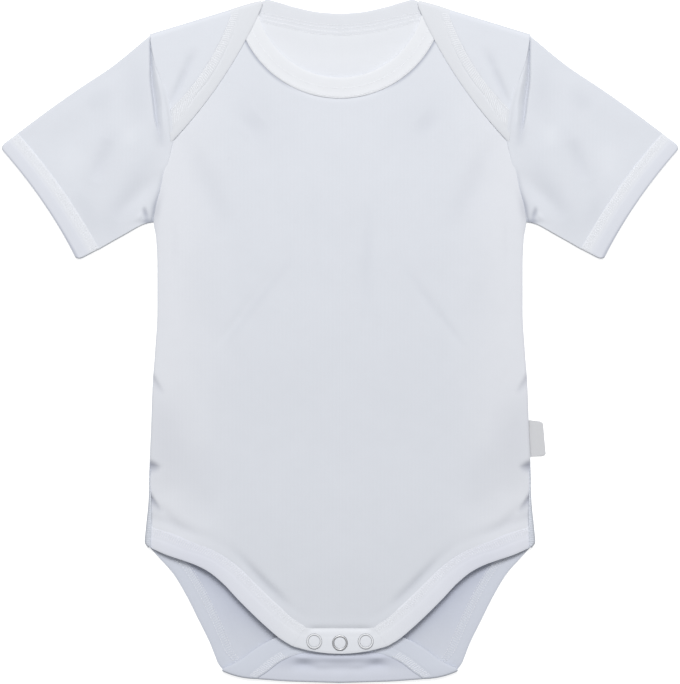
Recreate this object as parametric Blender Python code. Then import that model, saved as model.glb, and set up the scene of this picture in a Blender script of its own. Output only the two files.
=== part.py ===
"""Baby onesie, a short-sleeved bodysuit with lap shoulders, laid flat on its back.

The back panel lies on the surface and the front panel lies on it. The back is cut longer at
both shoulders and at the crotch: each shoulder folds over on to the front as a flap, and the
crotch folds up and passes behind the front's snap tab. Bands bind the neck, legs and sleeves.

+Z is up, +Y points to the neck and +X to the wearer's left. The origin is on the surface,
under the middle of the garment. Every length below is in millimetres until cloth() and its
neighbours turn it into metres. Tables and edges give the +X half, and the other is mirrored.
A layer's height is that of the middle of its wall.
"""
import bisect
import math

import bmesh
import bpy
from mathutils import Vector

MM = 0.001
WELD = 1e-6          # metres: points closer than this are one point
UP = Vector((0, 0, 1))

# Walls, in millimetres
CLOTH = 1.0          # single interlock, with the air under it
BAND = 1.6           # the same cloth folded double
SEAM_GAP = 0.3       # between two pieces that are sewn together
SLEEVE_GAP = 0.35
TIP_GAP = 0.55       # more room where the shoulder's fold meets the sleeve's
FOLD_STEPS = 6
ACROSS = (0, 0.5, 1)  # stations across a band, from its seam to its free edge

# Body: half width at each height
SIDE = (  # y, half width
    (-128, 123.5), (-115, 122.2), (-99.5, 120.7), (-77.5, 120), (-55, 119), (-27, 118),
    (-5, 116.4), (20, 115), (48, 115), (66, 115.8), (75.6, 117.3), (84.7, 116.2),
    (95.8, 113.3), (105, 111.5), (117.8, 108.4), (129.8, 106.3), (142, 107.3),
    (152.5, 109), (167, 113), (176.5, 116.4), (192.8, 119.4))
HIP_Y = -117.5
UNDERARM_Y = 75.6
SHOULDER_Y = 192.8
ARM_STATIONS = (0, 0.1, 0.2, 0.3, 0.4, 0.48, 0.55, 0.62, 0.69, 0.76, 0.83, 0.9, 1)
BODY_ROWS = (-117.5, -112, -104, -95, -83, -70, -55, -38, -20, 0, 20, 40, 58)

# Neck and shoulders
NECK_CENTRE = Vector((0, 220, 0))
NECK_SEAM_R = 67     # the front neck band's seam and its free edge are arcs on one centre
NECK_FREE_R = 53
NECK_COLUMN = 0.5477  # column that reaches the front's corner of neck and shoulder
SHOULDER_START = Vector((48.9, 212.3, 0))   # ends of the shoulder's fold
SHOULDER_END = Vector((119.1, 190.8, 0))
SHOULDER_COLUMN = 0.58
SHOULDER_TUCK = 1.2  # the front's hidden shoulder edge stops this far short of the fold
BACK_NECK = (  # seam x, seam y, free edge x, free edge y
    (0, 192.5, 0, 206.5), (17, 194, 14.5, 207.9), (33, 197.2, 28, 210.8),
    (50, 201.4, 40, 213.6), (60, 204.0, 45.5, 214.2), (69.2, 206.1, 48.9, 212.3))
FLAP_SEAM_END = Vector((107.4, 146.3, 0))
FLAP_FREE_END = Vector((105.7, 126.6, 0))
FLAP_SEAM_BOW = 4.0
FLAP_FREE_BOW = 4.7
FLAP_STATIONS = (0, 0.12, 0.27, 0.42, 0.56, 0.7, 0.82, 0.91, 0.965)

# Legs and crotch
FRONT_LEG = (  # seam x, seam y, free edge x, free edge y
    (21.3, -178, 30.5, -191.6), (28.5, -173.4, 38, -187.5), (36.6, -167, 47, -180),
    (45.6, -158.9, 56.3, -171.3), (54.6, -149.9, 65.4, -162.2), (63.6, -140.9, 74.2, -152.8),
    (74.4, -132.9, 83.6, -145.2), (83.5, -128.3, 91.2, -141.3), (94.2, -124.7, 99.6, -138.2),
    (105, -121.2, 109.2, -134.8), (120.5, -117.5, 121.6, -128.5))
BACK_LEG = (  # seam x, seam y, free edge x, free edge y
    (52.3, -210.6, 71.2, -205.7), (60, -203, 76.0, -202.4), (66.5, -194.9, 78.6, -196.5),
    (70.6, -185.5, 82.2, -188.8), (77.7, -169.7, 88.9, -174.3), (85.2, -154.7, 96, -160),
    (95.9, -137.7, 105, -145.5), (107.8, -126.4, 114.6, -136.2), (120.5, -117.5, 121.6, -128.5))
CROTCH_FOLD = ((0, -212.9), (31, -212.0), (52.3, -210.6))  # x, y of the fold's centre
CROTCH_FLAP = (  # seam x, seam y, free edge x, free edge y, y of the cloth at its middle
    (52.3, -210.6, 71.2, -205.7, -212.9), (46.5, -207.5, 64, -200.8, -209.5),
    (37.5, -200.8, 53.9, -193.4, -204.5), (29, -197, 42, -186.5, -199.5),
    (21.3, -195, 30.5, -182, -195.4))
CROTCH_COLUMN = 0.4235
HIP_COLUMN = 0.985
CORNER_BOW = 1.2     # the crotch fold's rounded corner, past the straight line
TAB_COLUMN = 0.175
TAB_HALF = 21.3       # half width of both tabs at their seams
FRONT_TAB = (-178.5, -196.9, (30.5, -191.6))   # seam y, free edge's y, corner
BACK_TAB = (-194.7, -177.6, (30.5, -182))
TAB_ROWS = (0, 0.25, 0.5, 0.75, 1)
TAB_COLUMNS = (-1, -0.75, -0.5, -0.25, 0, 0.25, 0.5, 0.75, 1)

# Heights of the layers
FRONT_EDGE = (  # y, height of the front panel at its side
    (-128, 2.75), (-106, 2.7), (-60, 2.6), (-20, 2.3), (20, 1.95), (70, 1.9), (100, 2.1),
    (130, 2.3), (193, 2.6))
FRONT_MIDDLE = (  # y, height away from the side
    (-200, 3.2), (-128, 3.3), (-60, 3.0), (60, 3.0), (130, 2.7), (153, 2.35), (170, 2.25),
    (190, 2.5), (196, 2.7), (215, 2.75))
EDGE_ROLL = 7        # how far in from the side the front reaches its middle height
TAB_CENTRE = Vector((0, -188, 0))
TAB_LIFT = (  # distance from the snaps, how far they push the front up
    (0, 2.5), (30, 2.5), (45, 1.7), (65, 0.9), (90, 0.3), (120, 0))
FLAP_RISE = 1.95     # from the front to the flap that lies on it
CROTCH_LOW = 2.15    # the crotch flap, away from its fold
CROTCH_RISE = 1.15
CROTCH_FLAT_Y = -188
CROTCH_RUN = 22

# Sleeves
CUFF_START = (Vector((151.5, 58.6, 0)), Vector((202.4, 130.8, 0)))  # band's seam: low, high end
HEM = (Vector((164.7, 51.9, 0)), Vector((213.9, 122.2, 0)))
HEM_BOW = -2.6
SLEEVE_TOP_DIP = 1.2
SLEEVE_STATIONS = (0, 0.03, 0.06, 0.09, 0.12, 0.16, 0.22, 0.3, 0.42, 0.56, 0.7, 0.85, 1)
CUFF_STATIONS = (0, 0.5, 1)
ARMHOLE_TOP = (  # station up the armhole, height of the sleeve's upper layer
    (0, 1.9), (0.2, 2.2), (0.36, 2.6), (0.45, 3.3), (0.56, 4.0), (0.75, 4.2), (1, 4.3))
HEM_TOP = ((0, 2.7), (0.5, 3.3), (1, 3.1))
HEAD_RUN = 0.35      # share of the sleeve over which the armhole's height fades out
HEAD_FOLD = (  # station up the armhole, place of the trough along the sleeve, depth
    (0.4, 0.1, 0), (0.52, 0.107, 0.9), (0.62, 0.118, 1.7), (0.71, 0.092, 1.6),
    (0.857, 0.032, 0.8), (1, 0.02, 0))
HEAD_WIDTH = 0.035
HEAD_RIDGE = 0.3     # height of the ridge beside the trough, as a share of its depth

# Snaps and label
SNAP_X = (-16.2, 0, 16.2)
SNAP_Y = (-187.9, -188.9, -187.9)
SNAP_RING = ((3.1, 6.8), (3.3, 7.6), (3.7, 7.9), (4.3, 7.8), (4.8, 7.2), (4.8, 6.8))  # radius, z
STUD_R = 4.5
STUD_Z = (3.4, 4.6)
ROUND_STEPS = 32
LABEL = ((119.9, -49.2), (127.8, -51.2), (129.6, -71.2), (119.9, -71.6))
LABEL_CORNER = 1.2
LABEL_WALL = 1.0

BACK_COLUMNS = (0, 0.14, 0.28, CROTCH_COLUMN, 0.47, 0.52, SHOULDER_COLUMN, 0.64, 0.69, 0.74,
                0.79, 0.84, 0.9, 0.95, HIP_COLUMN, 1)
FRONT_COLUMNS = (0, 0.09, TAB_COLUMN, 0.24, 0.31, 0.38, 0.44, 0.49, 0.525, NECK_COLUMN, 0.62,
                 0.7, 0.78, 0.85, 0.9, 0.94, 0.965, HIP_COLUMN, 1)


def slope(rows, i, column):
    """Slope of a table's curve at row i that adds no bumps between rows."""
    spans = [(rows[k + 1][column] - rows[k][column]) / (rows[k + 1][0] - rows[k][0])
             for k in (i - 1, i) if 0 <= k < len(rows) - 1]
    if len(spans) == 1:
        return spans[0]
    before, after = spans
    return 0.0 if before * after <= 0 else 2 * before * after / (before + after)


def smooth(rows, at, column=1):
    """Read a table on a smooth curve through its rows, held level past its ends."""
    keys = [row[0] for row in rows]
    at = min(max(at, keys[0]), keys[-1])
    i = min(max(bisect.bisect_right(keys, at) - 1, 0), len(rows) - 2)
    step = keys[i + 1] - keys[i]
    t = (at - keys[i]) / step
    low, high = rows[i][column], rows[i + 1][column]
    start, end = slope(rows, i, column) * step, slope(rows, i + 1, column) * step
    return ((2 * t**3 - 3 * t**2 + 1) * low + (t**3 - 2 * t**2 + t) * start
            + (3 * t**2 - 2 * t**3) * high + (t**3 - t**2) * end)


def ease(t):
    """Go smoothly from 0 to 1."""
    t = min(max(t, 0), 1)
    return t * t * (3 - 2 * t)


def blend(a, b, t):
    return a + (b - a) * t


def half_width(y):
    return smooth(SIDE, y)


# Heights of the layers' middles

def front_height(x, y):
    """Middle of the front's wall, and of all that is sewn to it in one layer."""
    edge, middle = smooth(FRONT_EDGE, y), smooth(FRONT_MIDDLE, y)
    inside = max(half_width(y) - abs(x), 0)
    lift = smooth(TAB_LIFT, (Vector((x, y, 0)) - TAB_CENTRE).length)
    return blend(edge, middle, 1 - math.exp(-inside / EDGE_ROLL)) + lift


def flap_height(x, y):
    return front_height(x, y) + FLAP_RISE


def crotch_height(x, y):
    return CROTCH_LOW + CROTCH_RISE * ease((CROTCH_FLAT_Y - y) / CROTCH_RUN)


def floor_cloth(x, y):
    return CLOTH / 2


def floor_band(x, y):
    return BAND / 2


def lifted(point, height):
    return Vector((point.x, point.y, height(point.x, point.y)))


# Edges of the panels, each as the y where it passes x

def front_bottom(x):
    return smooth(FRONT_LEG, x)


def front_top(x):
    shoulder = shoulder_y(x) - SHOULDER_TUCK
    if x >= NECK_SEAM_R:
        return shoulder
    return min(NECK_CENTRE.y - math.sqrt(NECK_SEAM_R**2 - x**2), shoulder)


def shoulder_y(x):
    run = (x - SHOULDER_START.x) / (SHOULDER_END.x - SHOULDER_START.x)
    return blend(SHOULDER_START.y, SHOULDER_END.y, run)


def back_bottom(x):
    return smooth(CROTCH_FOLD if x < CROTCH_FOLD[-1][0] else BACK_LEG, x)


def back_top(x):
    return smooth(BACK_NECK, x) if x < BACK_NECK[-1][0] else shoulder_y(x)


def meet(column, edge):
    """Point where a column, a fixed share of the half width, meets an edge."""
    y = edge(column * half_width(0))
    for _ in range(40):
        y = edge(column * half_width(y))
    return Vector((column * half_width(y), y, 0))


def panel_rows():
    """Share of the side's length at each row; those above the underarm fit the sleeve's."""
    arm = [blend(UNDERARM_Y, SHOULDER_Y, t) for t in ARM_STATIONS[:-1]] + [SHOULDER_END.y]
    return [(y - HIP_Y) / (SHOULDER_END.y - HIP_Y) for y in BODY_ROWS + tuple(arm)]


def panel(columns, bottom, top, height):
    """Rows of a panel's half, from its lower edge to its upper one."""
    ends = [(meet(column, bottom).y, meet(column, top).y) for column in columns]
    rows = []
    for share in panel_rows():
        row = []
        for column, (low, high) in zip(columns, ends):
            y = blend(low, high, share)
            row.append(lifted(Vector((column * half_width(y), y, 0)), height))
        rows.append(row)
    return rows


# Bands, flaps and folds

def bowed(start, end, bow, t):
    """Point on a shallow arc; a positive bow swings it to the right of its direction."""
    along = (end - start).normalized()
    aside = Vector((along.y, -along.x, 0))
    return start.lerp(end, t) + aside * (4 * bow * t * (1 - t))


def fold(line, outward, tops):
    """Rows round a half turn, from a line of points up to the heights above it."""
    rows = []
    for step in range(FOLD_STEPS + 1):
        angle = math.pi * step / FOLD_STEPS
        rows.append([
            point + (outward * math.sin(angle) + UP * (1 - math.cos(angle))) * (top - point.z) / 2
            for point, top in zip(line, tops)])
    return rows


def off_seam(rungs):
    """Shorten each rung (seam point, free point) so that its band clears the panel."""
    cleared = []
    for i, (seam, free) in enumerate(rungs):
        along = (rungs[min(i + 1, len(rungs) - 1)][0] - rungs[max(i - 1, 0)][0]).normalized()
        across = (free - seam).normalized()
        square = max(along.cross(across).length, 0.55)
        cleared.append((seam + across * (SEAM_GAP / square), free))
    return cleared


def band_rows(rungs, height):
    return [[lifted(seam.lerp(free, s), height) for s in ACROSS] for seam, free in rungs]


def table_rung(table, seam):
    """Rung of a band at a seam point, its free end read from the band's table."""
    return seam, Vector((smooth(table, seam.x, 2), smooth(table, seam.x, 3), 0))


def square_out(rung, outside):
    """Direction square to a fold that lies along a rung, to the side of a point outside."""
    along = (rung[1] - rung[0]).normalized()
    side = Vector((along.y, -along.x, 0))
    return side if side.dot(outside - rung[0]) > 0 else -side


def flipped(grid):
    return [[Vector((-point.x, point.y, point.z)) for point in row] for row in grid]


def both(grids):
    return grids + [flipped(grid) for grid in grids]


def shoulder_fold_out():
    return square_out((SHOULDER_START, SHOULDER_END), Vector((200, 300, 0)))


def back_panel():
    columns = BACK_COLUMNS
    main = panel(columns, back_bottom, back_top, floor_cloth)
    # the shoulder folds over, and runs down the front as a flap to a point on the armhole
    line = main[-1][columns.index(SHOULDER_COLUMN):]
    over = fold(line, shoulder_fold_out(), [flap_height(p.x, p.y) for p in line])
    seam_start, tip = line[0], line[-1]
    shares = [(p.x - seam_start.x) / (tip.x - seam_start.x) for p in line]
    flap = []
    for t in FLAP_STATIONS:
        seam = bowed(plan(seam_start), FLAP_SEAM_END, FLAP_SEAM_BOW, t)
        y = blend(tip.y, FLAP_SEAM_END.y, t)
        armhole = Vector((half_width(y), y, 0))
        flap.append([lifted(seam.lerp(armhole, share), flap_height) for share in shares])
    # the crotch folds up, and ends at the back's snap tab
    low = main[0][:columns.index(CROTCH_COLUMN) + 1]
    under = fold(low, -Vector((0, 1, 0)), [crotch_height(p.x, p.y) for p in low])
    crotch = []
    for seam_x, seam_y, _, _, middle_y in CROTCH_FLAP:
        crotch.append([lifted(Vector((seam_x * c, blend(middle_y, seam_y, c * c), 0)), crotch_height)
                       for c in (p.x / low[-1].x for p in low)])
    crotch[0] = under[-1]
    return both([main, over, flap, under, crotch])


def plan(point):
    return Vector((point.x, point.y, 0))


def front_panel():
    return both([panel(FRONT_COLUMNS, front_bottom, front_top, front_height)])


def neck_band_front():
    rungs = []
    for column in FRONT_COLUMNS[:FRONT_COLUMNS.index(NECK_COLUMN) + 1]:
        seam = meet(column, front_top)
        rungs.append((seam, NECK_CENTRE + (seam - NECK_CENTRE) * (NECK_FREE_R / NECK_SEAM_R)))
    return both([band_rows(off_seam(rungs), front_height)])


def neck_band_back():
    """From the middle of the back neck, over the shoulder and down the flap's edge."""
    seams = [meet(column, back_top)
             for column in BACK_COLUMNS[:BACK_COLUMNS.index(SHOULDER_COLUMN) + 1]]
    low = [table_rung(BACK_NECK, seam) for seam in seams]
    low[-1] = (seams[-1], SHOULDER_START)
    high = [(bowed(seams[-1], FLAP_SEAM_END, FLAP_SEAM_BOW, t),
             bowed(SHOULDER_START, FLAP_FREE_END, FLAP_FREE_BOW, t))
            for t in FLAP_STATIONS[1:] + (1,)]
    rungs = off_seam(low + high)
    low_rows = band_rows(rungs[:len(low)], floor_band)
    turn = low_rows[-1]
    over = fold(turn, shoulder_fold_out(), [flap_height(p.x, p.y) for p in turn])
    return both([low_rows, over, [over[-1]] + band_rows(rungs[len(low):], flap_height)])


def leg_band():
    """From the back's tab, round the crotch fold, up the leg, round the hip to the front tab."""
    tab_end = [(Vector((row[0], row[1], 0)), Vector((row[2], row[3], 0))) for row in CROTCH_FLAP]
    back = [table_rung(BACK_LEG, meet(column, back_bottom)) for column in BACK_COLUMNS
            if CROTCH_COLUMN <= column <= HIP_COLUMN]
    front = [table_rung(FRONT_LEG, meet(column, front_bottom)) for column in FRONT_COLUMNS
             if TAB_COLUMN <= column <= HIP_COLUMN]
    back[0], front[-1] = tab_end[0], back[-1]
    rungs = off_seam(tab_end[:0:-1] + back + front[-2::-1])
    first, last = len(tab_end) - 1, len(tab_end) + len(back) - 1
    crotch_rows = band_rows(rungs[:first], crotch_height)
    back_rows = band_rows(rungs[first:last], floor_band)
    front_rows = band_rows(rungs[last:], front_height)
    corner, hip = back_rows[0], back_rows[-1]
    corner_out = square_out(rungs[first], Vector((100, -300, 0)))
    corner[1] = corner[1] + corner_out * CORNER_BOW
    under = fold(corner, corner_out, [crotch_height(p.x, p.y) for p in corner])
    hip_out = square_out(rungs[last - 1], Vector((300, -120, 0)))
    round_hip = fold(hip, hip_out, [front_height(p.x + hip_out.x, p.y) for p in hip])
    return [crotch_rows + [under[-1]], under, back_rows, round_hip, [round_hip[-1]] + front_rows]


def tab(seam_y, edge_y, corner, height):
    """Snap tab between the leg bands' ends, from its seam to its bowed free edge."""
    rows = []
    for w in TAB_ROWS:
        reach = blend(TAB_HALF, corner[0], w) - SLEEVE_GAP
        row = []
        for c in TAB_COLUMNS:
            y = blend(seam_y, blend(edge_y, corner[1], c * c), w)
            row.append(lifted(Vector((c * reach, y, 0)), height))
        rows.append(row)
    return [rows]


# Sleeves

def armhole(t):
    y = blend(UNDERARM_Y, SHOULDER_Y, t)
    gap = SLEEVE_GAP + TIP_GAP * ease((t - 0.9) / 0.1)
    return Vector((half_width(y) + gap, y, 0))


def sleeve_plan(s, t):
    """Point of the sleeve's outline: s from armhole to band, t from underarm to shoulder."""
    dip = SLEEVE_TOP_DIP * t * math.sin(math.pi * s)
    return armhole(t).lerp(bowed(*CUFF_START, HEM_BOW, t), s) - Vector((0, dip, 0))


def cuff_plan(s, t):
    start, end = bowed(*CUFF_START, HEM_BOW, t), bowed(*HEM, HEM_BOW, t)
    return (start + (end - start).normalized() * SLEEVE_GAP).lerp(end, s)


def sleeve_top(s, t):
    """Height of the sleeve's upper layer, with the fold beside the armhole."""
    base = blend(smooth(ARMHOLE_TOP, t), smooth(HEM_TOP, t), ease(s / HEAD_RUN))
    place, depth = smooth(HEAD_FOLD, t, 1), smooth(HEAD_FOLD, t, 2)
    trough = math.exp(-((s - place) / HEAD_WIDTH)**2)
    ridge = HEAD_RIDGE * math.exp(-((s - place / 2) / (HEAD_WIDTH / 2))**2)
    return base + depth * (ridge - trough)


def cuff_top(s, t):
    return smooth(HEM_TOP, t)


def tube(outline, top, stations, wall):
    """Rings of a flattened tube: flat underneath, a fold at each edge, heights from top()."""
    rings = []
    for s in stations:
        first, last = outline(s, 0), outline(s, 1)
        along = (last - first).normalized()
        length = (last - first).length
        floor = wall / 2
        insets = [((top(s, end) - floor) / 2 + wall / 2) / length for end in (0, 1)]
        shares = [min(max(t, insets[0]), 1 - insets[1]) for t in ARM_STATIONS]
        under = [outline(s, t) + UP * floor for t in shares]
        over = [outline(s, t) + UP * top(s, t) for t in shares]
        high = [row[0] for row in fold([under[-1]], along, [over[-1].z])]
        low = [row[0] for row in fold([under[0]], -along, [over[0].z])]
        rings.append(under[:-1] + high + over[-2:0:-1] + low[::-1])
    return [rings]


# Objects

def material(name, colour, roughness, metallic=0.0):
    made = bpy.data.materials.new(name)
    made.use_nodes = True
    shader = made.node_tree.nodes["Principled BSDF"]
    shader.inputs["Base Color"].default_value = (*colour, 1)
    shader.inputs["Roughness"].default_value = roughness
    shader.inputs["Metallic"].default_value = metallic
    return made


def place(name, mesh, finish, smooth_angle=40):
    """Turn a bmesh into an object of its own."""
    data = bpy.data.meshes.new(name)
    mesh.to_mesh(data)
    mesh.free()
    data.materials.append(finish)
    data.shade_smooth()
    data.set_sharp_from_angle(angle=math.radians(smooth_angle))
    thing = bpy.data.objects.new(name, data)
    bpy.context.collection.objects.link(thing)
    return thing


def cloth(name, grids, wall, finish):
    """Wall of even thickness on both sides of its grids of points."""
    mesh = bmesh.new()
    for grid in grids:
        rows = [[mesh.verts.new(point * MM) for point in row] for row in grid]
        for low, high in zip(rows, rows[1:]):
            for i in range(len(low) - 1):
                mesh.faces.new((low[i], low[i + 1], high[i + 1], high[i]))
    bmesh.ops.remove_doubles(mesh, verts=mesh.verts, dist=WELD)
    bmesh.ops.recalc_face_normals(mesh, faces=mesh.faces)
    thing = place(name, mesh, finish)
    shell = thing.modifiers.new("Wall", "SOLIDIFY")
    shell.thickness = wall * MM
    shell.offset = 0
    shell.use_even_offset = True


def ring(name, centre, profile, finish):
    """Ring turned from a profile of (radius, height)."""
    mesh = bmesh.new()
    loops = []
    for step in range(ROUND_STEPS):
        angle = 2 * math.pi * step / ROUND_STEPS
        loops.append([mesh.verts.new(Vector((centre[0] + r * math.cos(angle),
                                             centre[1] + r * math.sin(angle), z)) * MM)
                      for r, z in profile])
    for near, far in zip(loops, loops[1:] + loops[:1]):
        for i in range(len(profile)):
            j = (i + 1) % len(profile)
            mesh.faces.new((near[i], far[i], far[j], near[j]))
    bmesh.ops.recalc_face_normals(mesh, faces=mesh.faces)
    place(name, mesh, finish)


def disc(name, centre, radius, heights, finish):
    mesh = bmesh.new()
    bmesh.ops.create_cone(mesh, cap_ends=True, segments=ROUND_STEPS, radius1=radius * MM,
                          radius2=radius * MM, depth=(heights[1] - heights[0]) * MM)
    middle = Vector((centre[0], centre[1], sum(heights) / 2)) * MM
    bmesh.ops.translate(mesh, verts=mesh.verts, vec=middle)
    place(name, mesh, finish)


def label(name, finish):
    """Folded tape caught in the side seam, with its outer corners rounded off."""
    mesh = bmesh.new()
    corners = [mesh.verts.new(Vector((x, y, 0)) * MM) for x, y in LABEL]
    mesh.faces.new(corners)
    bmesh.ops.bevel(mesh, geom=corners[1:3], offset=LABEL_CORNER * MM, segments=3,
                    affect="VERTICES")
    face = next(iter(mesh.faces))
    raised = bmesh.ops.extrude_face_region(mesh, geom=[face])["geom"]
    points = [item for item in raised if isinstance(item, bmesh.types.BMVert)]
    bmesh.ops.translate(mesh, verts=points, vec=UP * LABEL_WALL * MM)
    bmesh.ops.recalc_face_normals(mesh, faces=mesh.faces)
    place(name, mesh, finish)


def build():
    for thing in list(bpy.data.objects):
        bpy.data.objects.remove(thing, do_unlink=True)
    body = material("cotton_body", (0.80, 0.82, 0.87), 0.9)
    band = material("cotton_band", (0.82, 0.84, 0.88), 0.9)
    metal = material("snap_metal", (0.72, 0.72, 0.73), 0.35, 1.0)
    tape = material("label_woven", (0.78, 0.79, 0.81), 0.8)

    cloth("back_panel", back_panel(), CLOTH, body)
    cloth("front_panel", front_panel(), CLOTH, body)
    cloth("neck_band_front", neck_band_front(), BAND, band)
    cloth("neck_band_back", neck_band_back(), BAND, band)
    cloth("front_tab", tab(*FRONT_TAB, front_height), BAND, band)
    cloth("back_tab", tab(*BACK_TAB, crotch_height), BAND, band)
    sleeve = tube(sleeve_plan, sleeve_top, SLEEVE_STATIONS, CLOTH)
    cuff = tube(cuff_plan, cuff_top, CUFF_STATIONS, BAND)
    for side, turn in (("left", lambda grid: grid), ("right", flipped)):
        cloth("sleeve_" + side, [turn(grid) for grid in sleeve], CLOTH, body)
        cloth("sleeve_band_" + side, [turn(grid) for grid in cuff], BAND, band)
        cloth("leg_band_" + side, [turn(grid) for grid in leg_band()], BAND, band)
    for number, centre in enumerate(zip(SNAP_X, SNAP_Y), 1):
        ring(f"snap_cap_{number}", centre, SNAP_RING, metal)
        disc(f"snap_stud_{number}", centre, STUD_R, STUD_Z, metal)
    label("side_label", tape)


build()
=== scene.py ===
"""Baby onesie laid flat: the looks of each piece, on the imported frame.

Lengths are in millimetres until shell() and its neighbours turn them into metres. Tables and
edges give the +X half, and the other is mirrored. A layer's height is that of its wall's middle.
"""
import bisect
import math

import bmesh
import bpy
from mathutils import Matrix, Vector, noise


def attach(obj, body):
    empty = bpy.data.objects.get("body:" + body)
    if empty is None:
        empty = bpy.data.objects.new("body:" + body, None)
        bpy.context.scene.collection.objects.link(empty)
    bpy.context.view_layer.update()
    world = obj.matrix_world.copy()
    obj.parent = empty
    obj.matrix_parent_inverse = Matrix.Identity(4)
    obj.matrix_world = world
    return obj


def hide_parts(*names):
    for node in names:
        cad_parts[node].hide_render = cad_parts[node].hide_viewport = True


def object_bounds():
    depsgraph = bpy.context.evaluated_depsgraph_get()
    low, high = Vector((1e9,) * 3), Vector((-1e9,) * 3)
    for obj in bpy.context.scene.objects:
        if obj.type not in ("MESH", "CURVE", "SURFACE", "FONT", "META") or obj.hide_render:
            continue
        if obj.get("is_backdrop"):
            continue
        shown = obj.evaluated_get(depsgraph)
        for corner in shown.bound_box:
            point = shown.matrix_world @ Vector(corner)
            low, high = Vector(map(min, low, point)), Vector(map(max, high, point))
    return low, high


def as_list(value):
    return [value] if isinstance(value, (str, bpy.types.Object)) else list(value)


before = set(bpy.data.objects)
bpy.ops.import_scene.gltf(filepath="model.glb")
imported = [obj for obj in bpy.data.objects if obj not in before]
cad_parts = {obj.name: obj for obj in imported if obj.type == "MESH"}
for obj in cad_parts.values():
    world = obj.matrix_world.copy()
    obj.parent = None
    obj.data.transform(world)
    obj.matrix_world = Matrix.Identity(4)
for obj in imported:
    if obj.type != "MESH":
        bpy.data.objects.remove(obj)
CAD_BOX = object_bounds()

MM = 0.001
WELD = 1e-6          # metres: points closer than this are one point
UP = Vector((0, 0, 1))
WHITE = (1, 1, 1)

# ---------------- sizes, as in the part's source

CLOTH = 1.0          # walls of the solids
BAND = 1.6
SKIN = 0.8           # walls of the shells that are seen
BAND_SKIN = 1.2
BAND_RIM = 0.9
SLEEVE_LAP = 0.9     # the sleeve's edge lies this far over the body's
PANEL_TUCK = 1.6     # the panels' edges run this far into the bands
BAND_TUCK = 2.6      # and this far at the back's neck

SIDE = (  # y, half width
    (-128, 123.5), (-115, 122.2), (-99.5, 120.7), (-77.5, 120), (-55, 119), (-27, 118),
    (-5, 116.4), (20, 115), (48, 115), (66, 115.8), (75.6, 117.3), (84.7, 116.2),
    (95.8, 113.3), (105, 111.5), (117.8, 108.4), (129.8, 106.3), (142, 107.3),
    (152.5, 109), (167, 113), (176.5, 116.4), (192.8, 119.4))
UNDERARM_Y = 75.6
SHOULDER_Y = 192.8

NECK_CENTRE = Vector((0, 220, 0))
NECK_SEAM_R = 66.2
NECK_FREE_R = 53
NECK_COLUMN = 0.5477
SHOULDER_START = Vector((48.9, 212.3, 0))
SHOULDER_END = Vector((119.1, 190.8, 0))
SHOULDER_COLUMN = 0.58
SHOULDER_TUCK = 1.2
BACK_NECK = (  # seam x, seam y, free edge x, free edge y
    (0, 192.5, 0, 206.5), (17, 194, 14.5, 207.9), (33, 197.2, 28, 210.8),
    (50, 201.4, 40, 213.6), (60, 204.0, 45.5, 214.2), (69.2, 206.1, 48.9, 212.3))
FLAP_SEAM_END = Vector((107.4, 146.3, 0))
FLAP_FREE_END = Vector((105.7, 126.6, 0))
FLAP_SEAM_BOW = 4.0
FLAP_FREE_BOW = 4.7

FRONT_LEG = (  # seam x, seam y, free edge x, free edge y
    (21.3, -178, 30.3, -191.0), (28.5, -173.4, 37.5, -186.6), (36.6, -167, 46.4, -179.1),
    (45.6, -158.9, 55.7, -170.4), (54.6, -149.9, 64.8, -161.3), (63.6, -140.9, 73.6, -151.9),
    (74.4, -132.9, 83.1, -144.2), (83.5, -128.3, 90.9, -140.2), (94.2, -124.7, 99.4, -137.1),
    (105, -120.3, 109.1, -133.9), (120.5, -115.2, 119.8, -129.2))
BACK_LEG = (  # seam x, seam y, free edge x, free edge y
    (51.3, -210.6, 74.1, -205.6), (59.5, -203, 77.1, -201.6), (66.5, -194.9, 79.3, -196.2),
    (70.6, -185.5, 82.2, -189.0), (77.7, -169.7, 89.3, -174.6), (85.2, -154.7, 96.5, -160.2),
    (95.9, -137.7, 105.2, -145.7), (107.8, -126.4, 113.8, -136.0), (120.5, -115.2, 119.8, -129.2))
CROTCH_FOLD = ((0, -212.9), (31, -212.0), (51.3, -210.6))  # x, y of the fold's centre
CROTCH_FLAP = (  # row, seam x, seam y, free edge x, free edge y, y of the cloth at its middle
    (0, 51.3, -210.6, 74.1, -205.6, -212.9), (1, 46.0, -207.2, 64, -200.8, -209.5),
    (2, 37.5, -200.8, 53.9, -193.4, -204.5), (3, 29, -197, 42, -186.5, -199.5),
    (4, 21.3, -195, 30.5, -182, -195.4))
CROTCH_COLUMN = 0.4153
HIP_COLUMN = 0.985
CORNER_BOW = 1.2
TAB_COLUMN = 0.175
TAB_HALF = 21.3
FRONT_TAB = (-178.5, -196.0, (30.3, -191.0))   # seam y, free edge's y, corner
BACK_TAB = (-194.7, -177.6, (30.5, -182))

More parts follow.
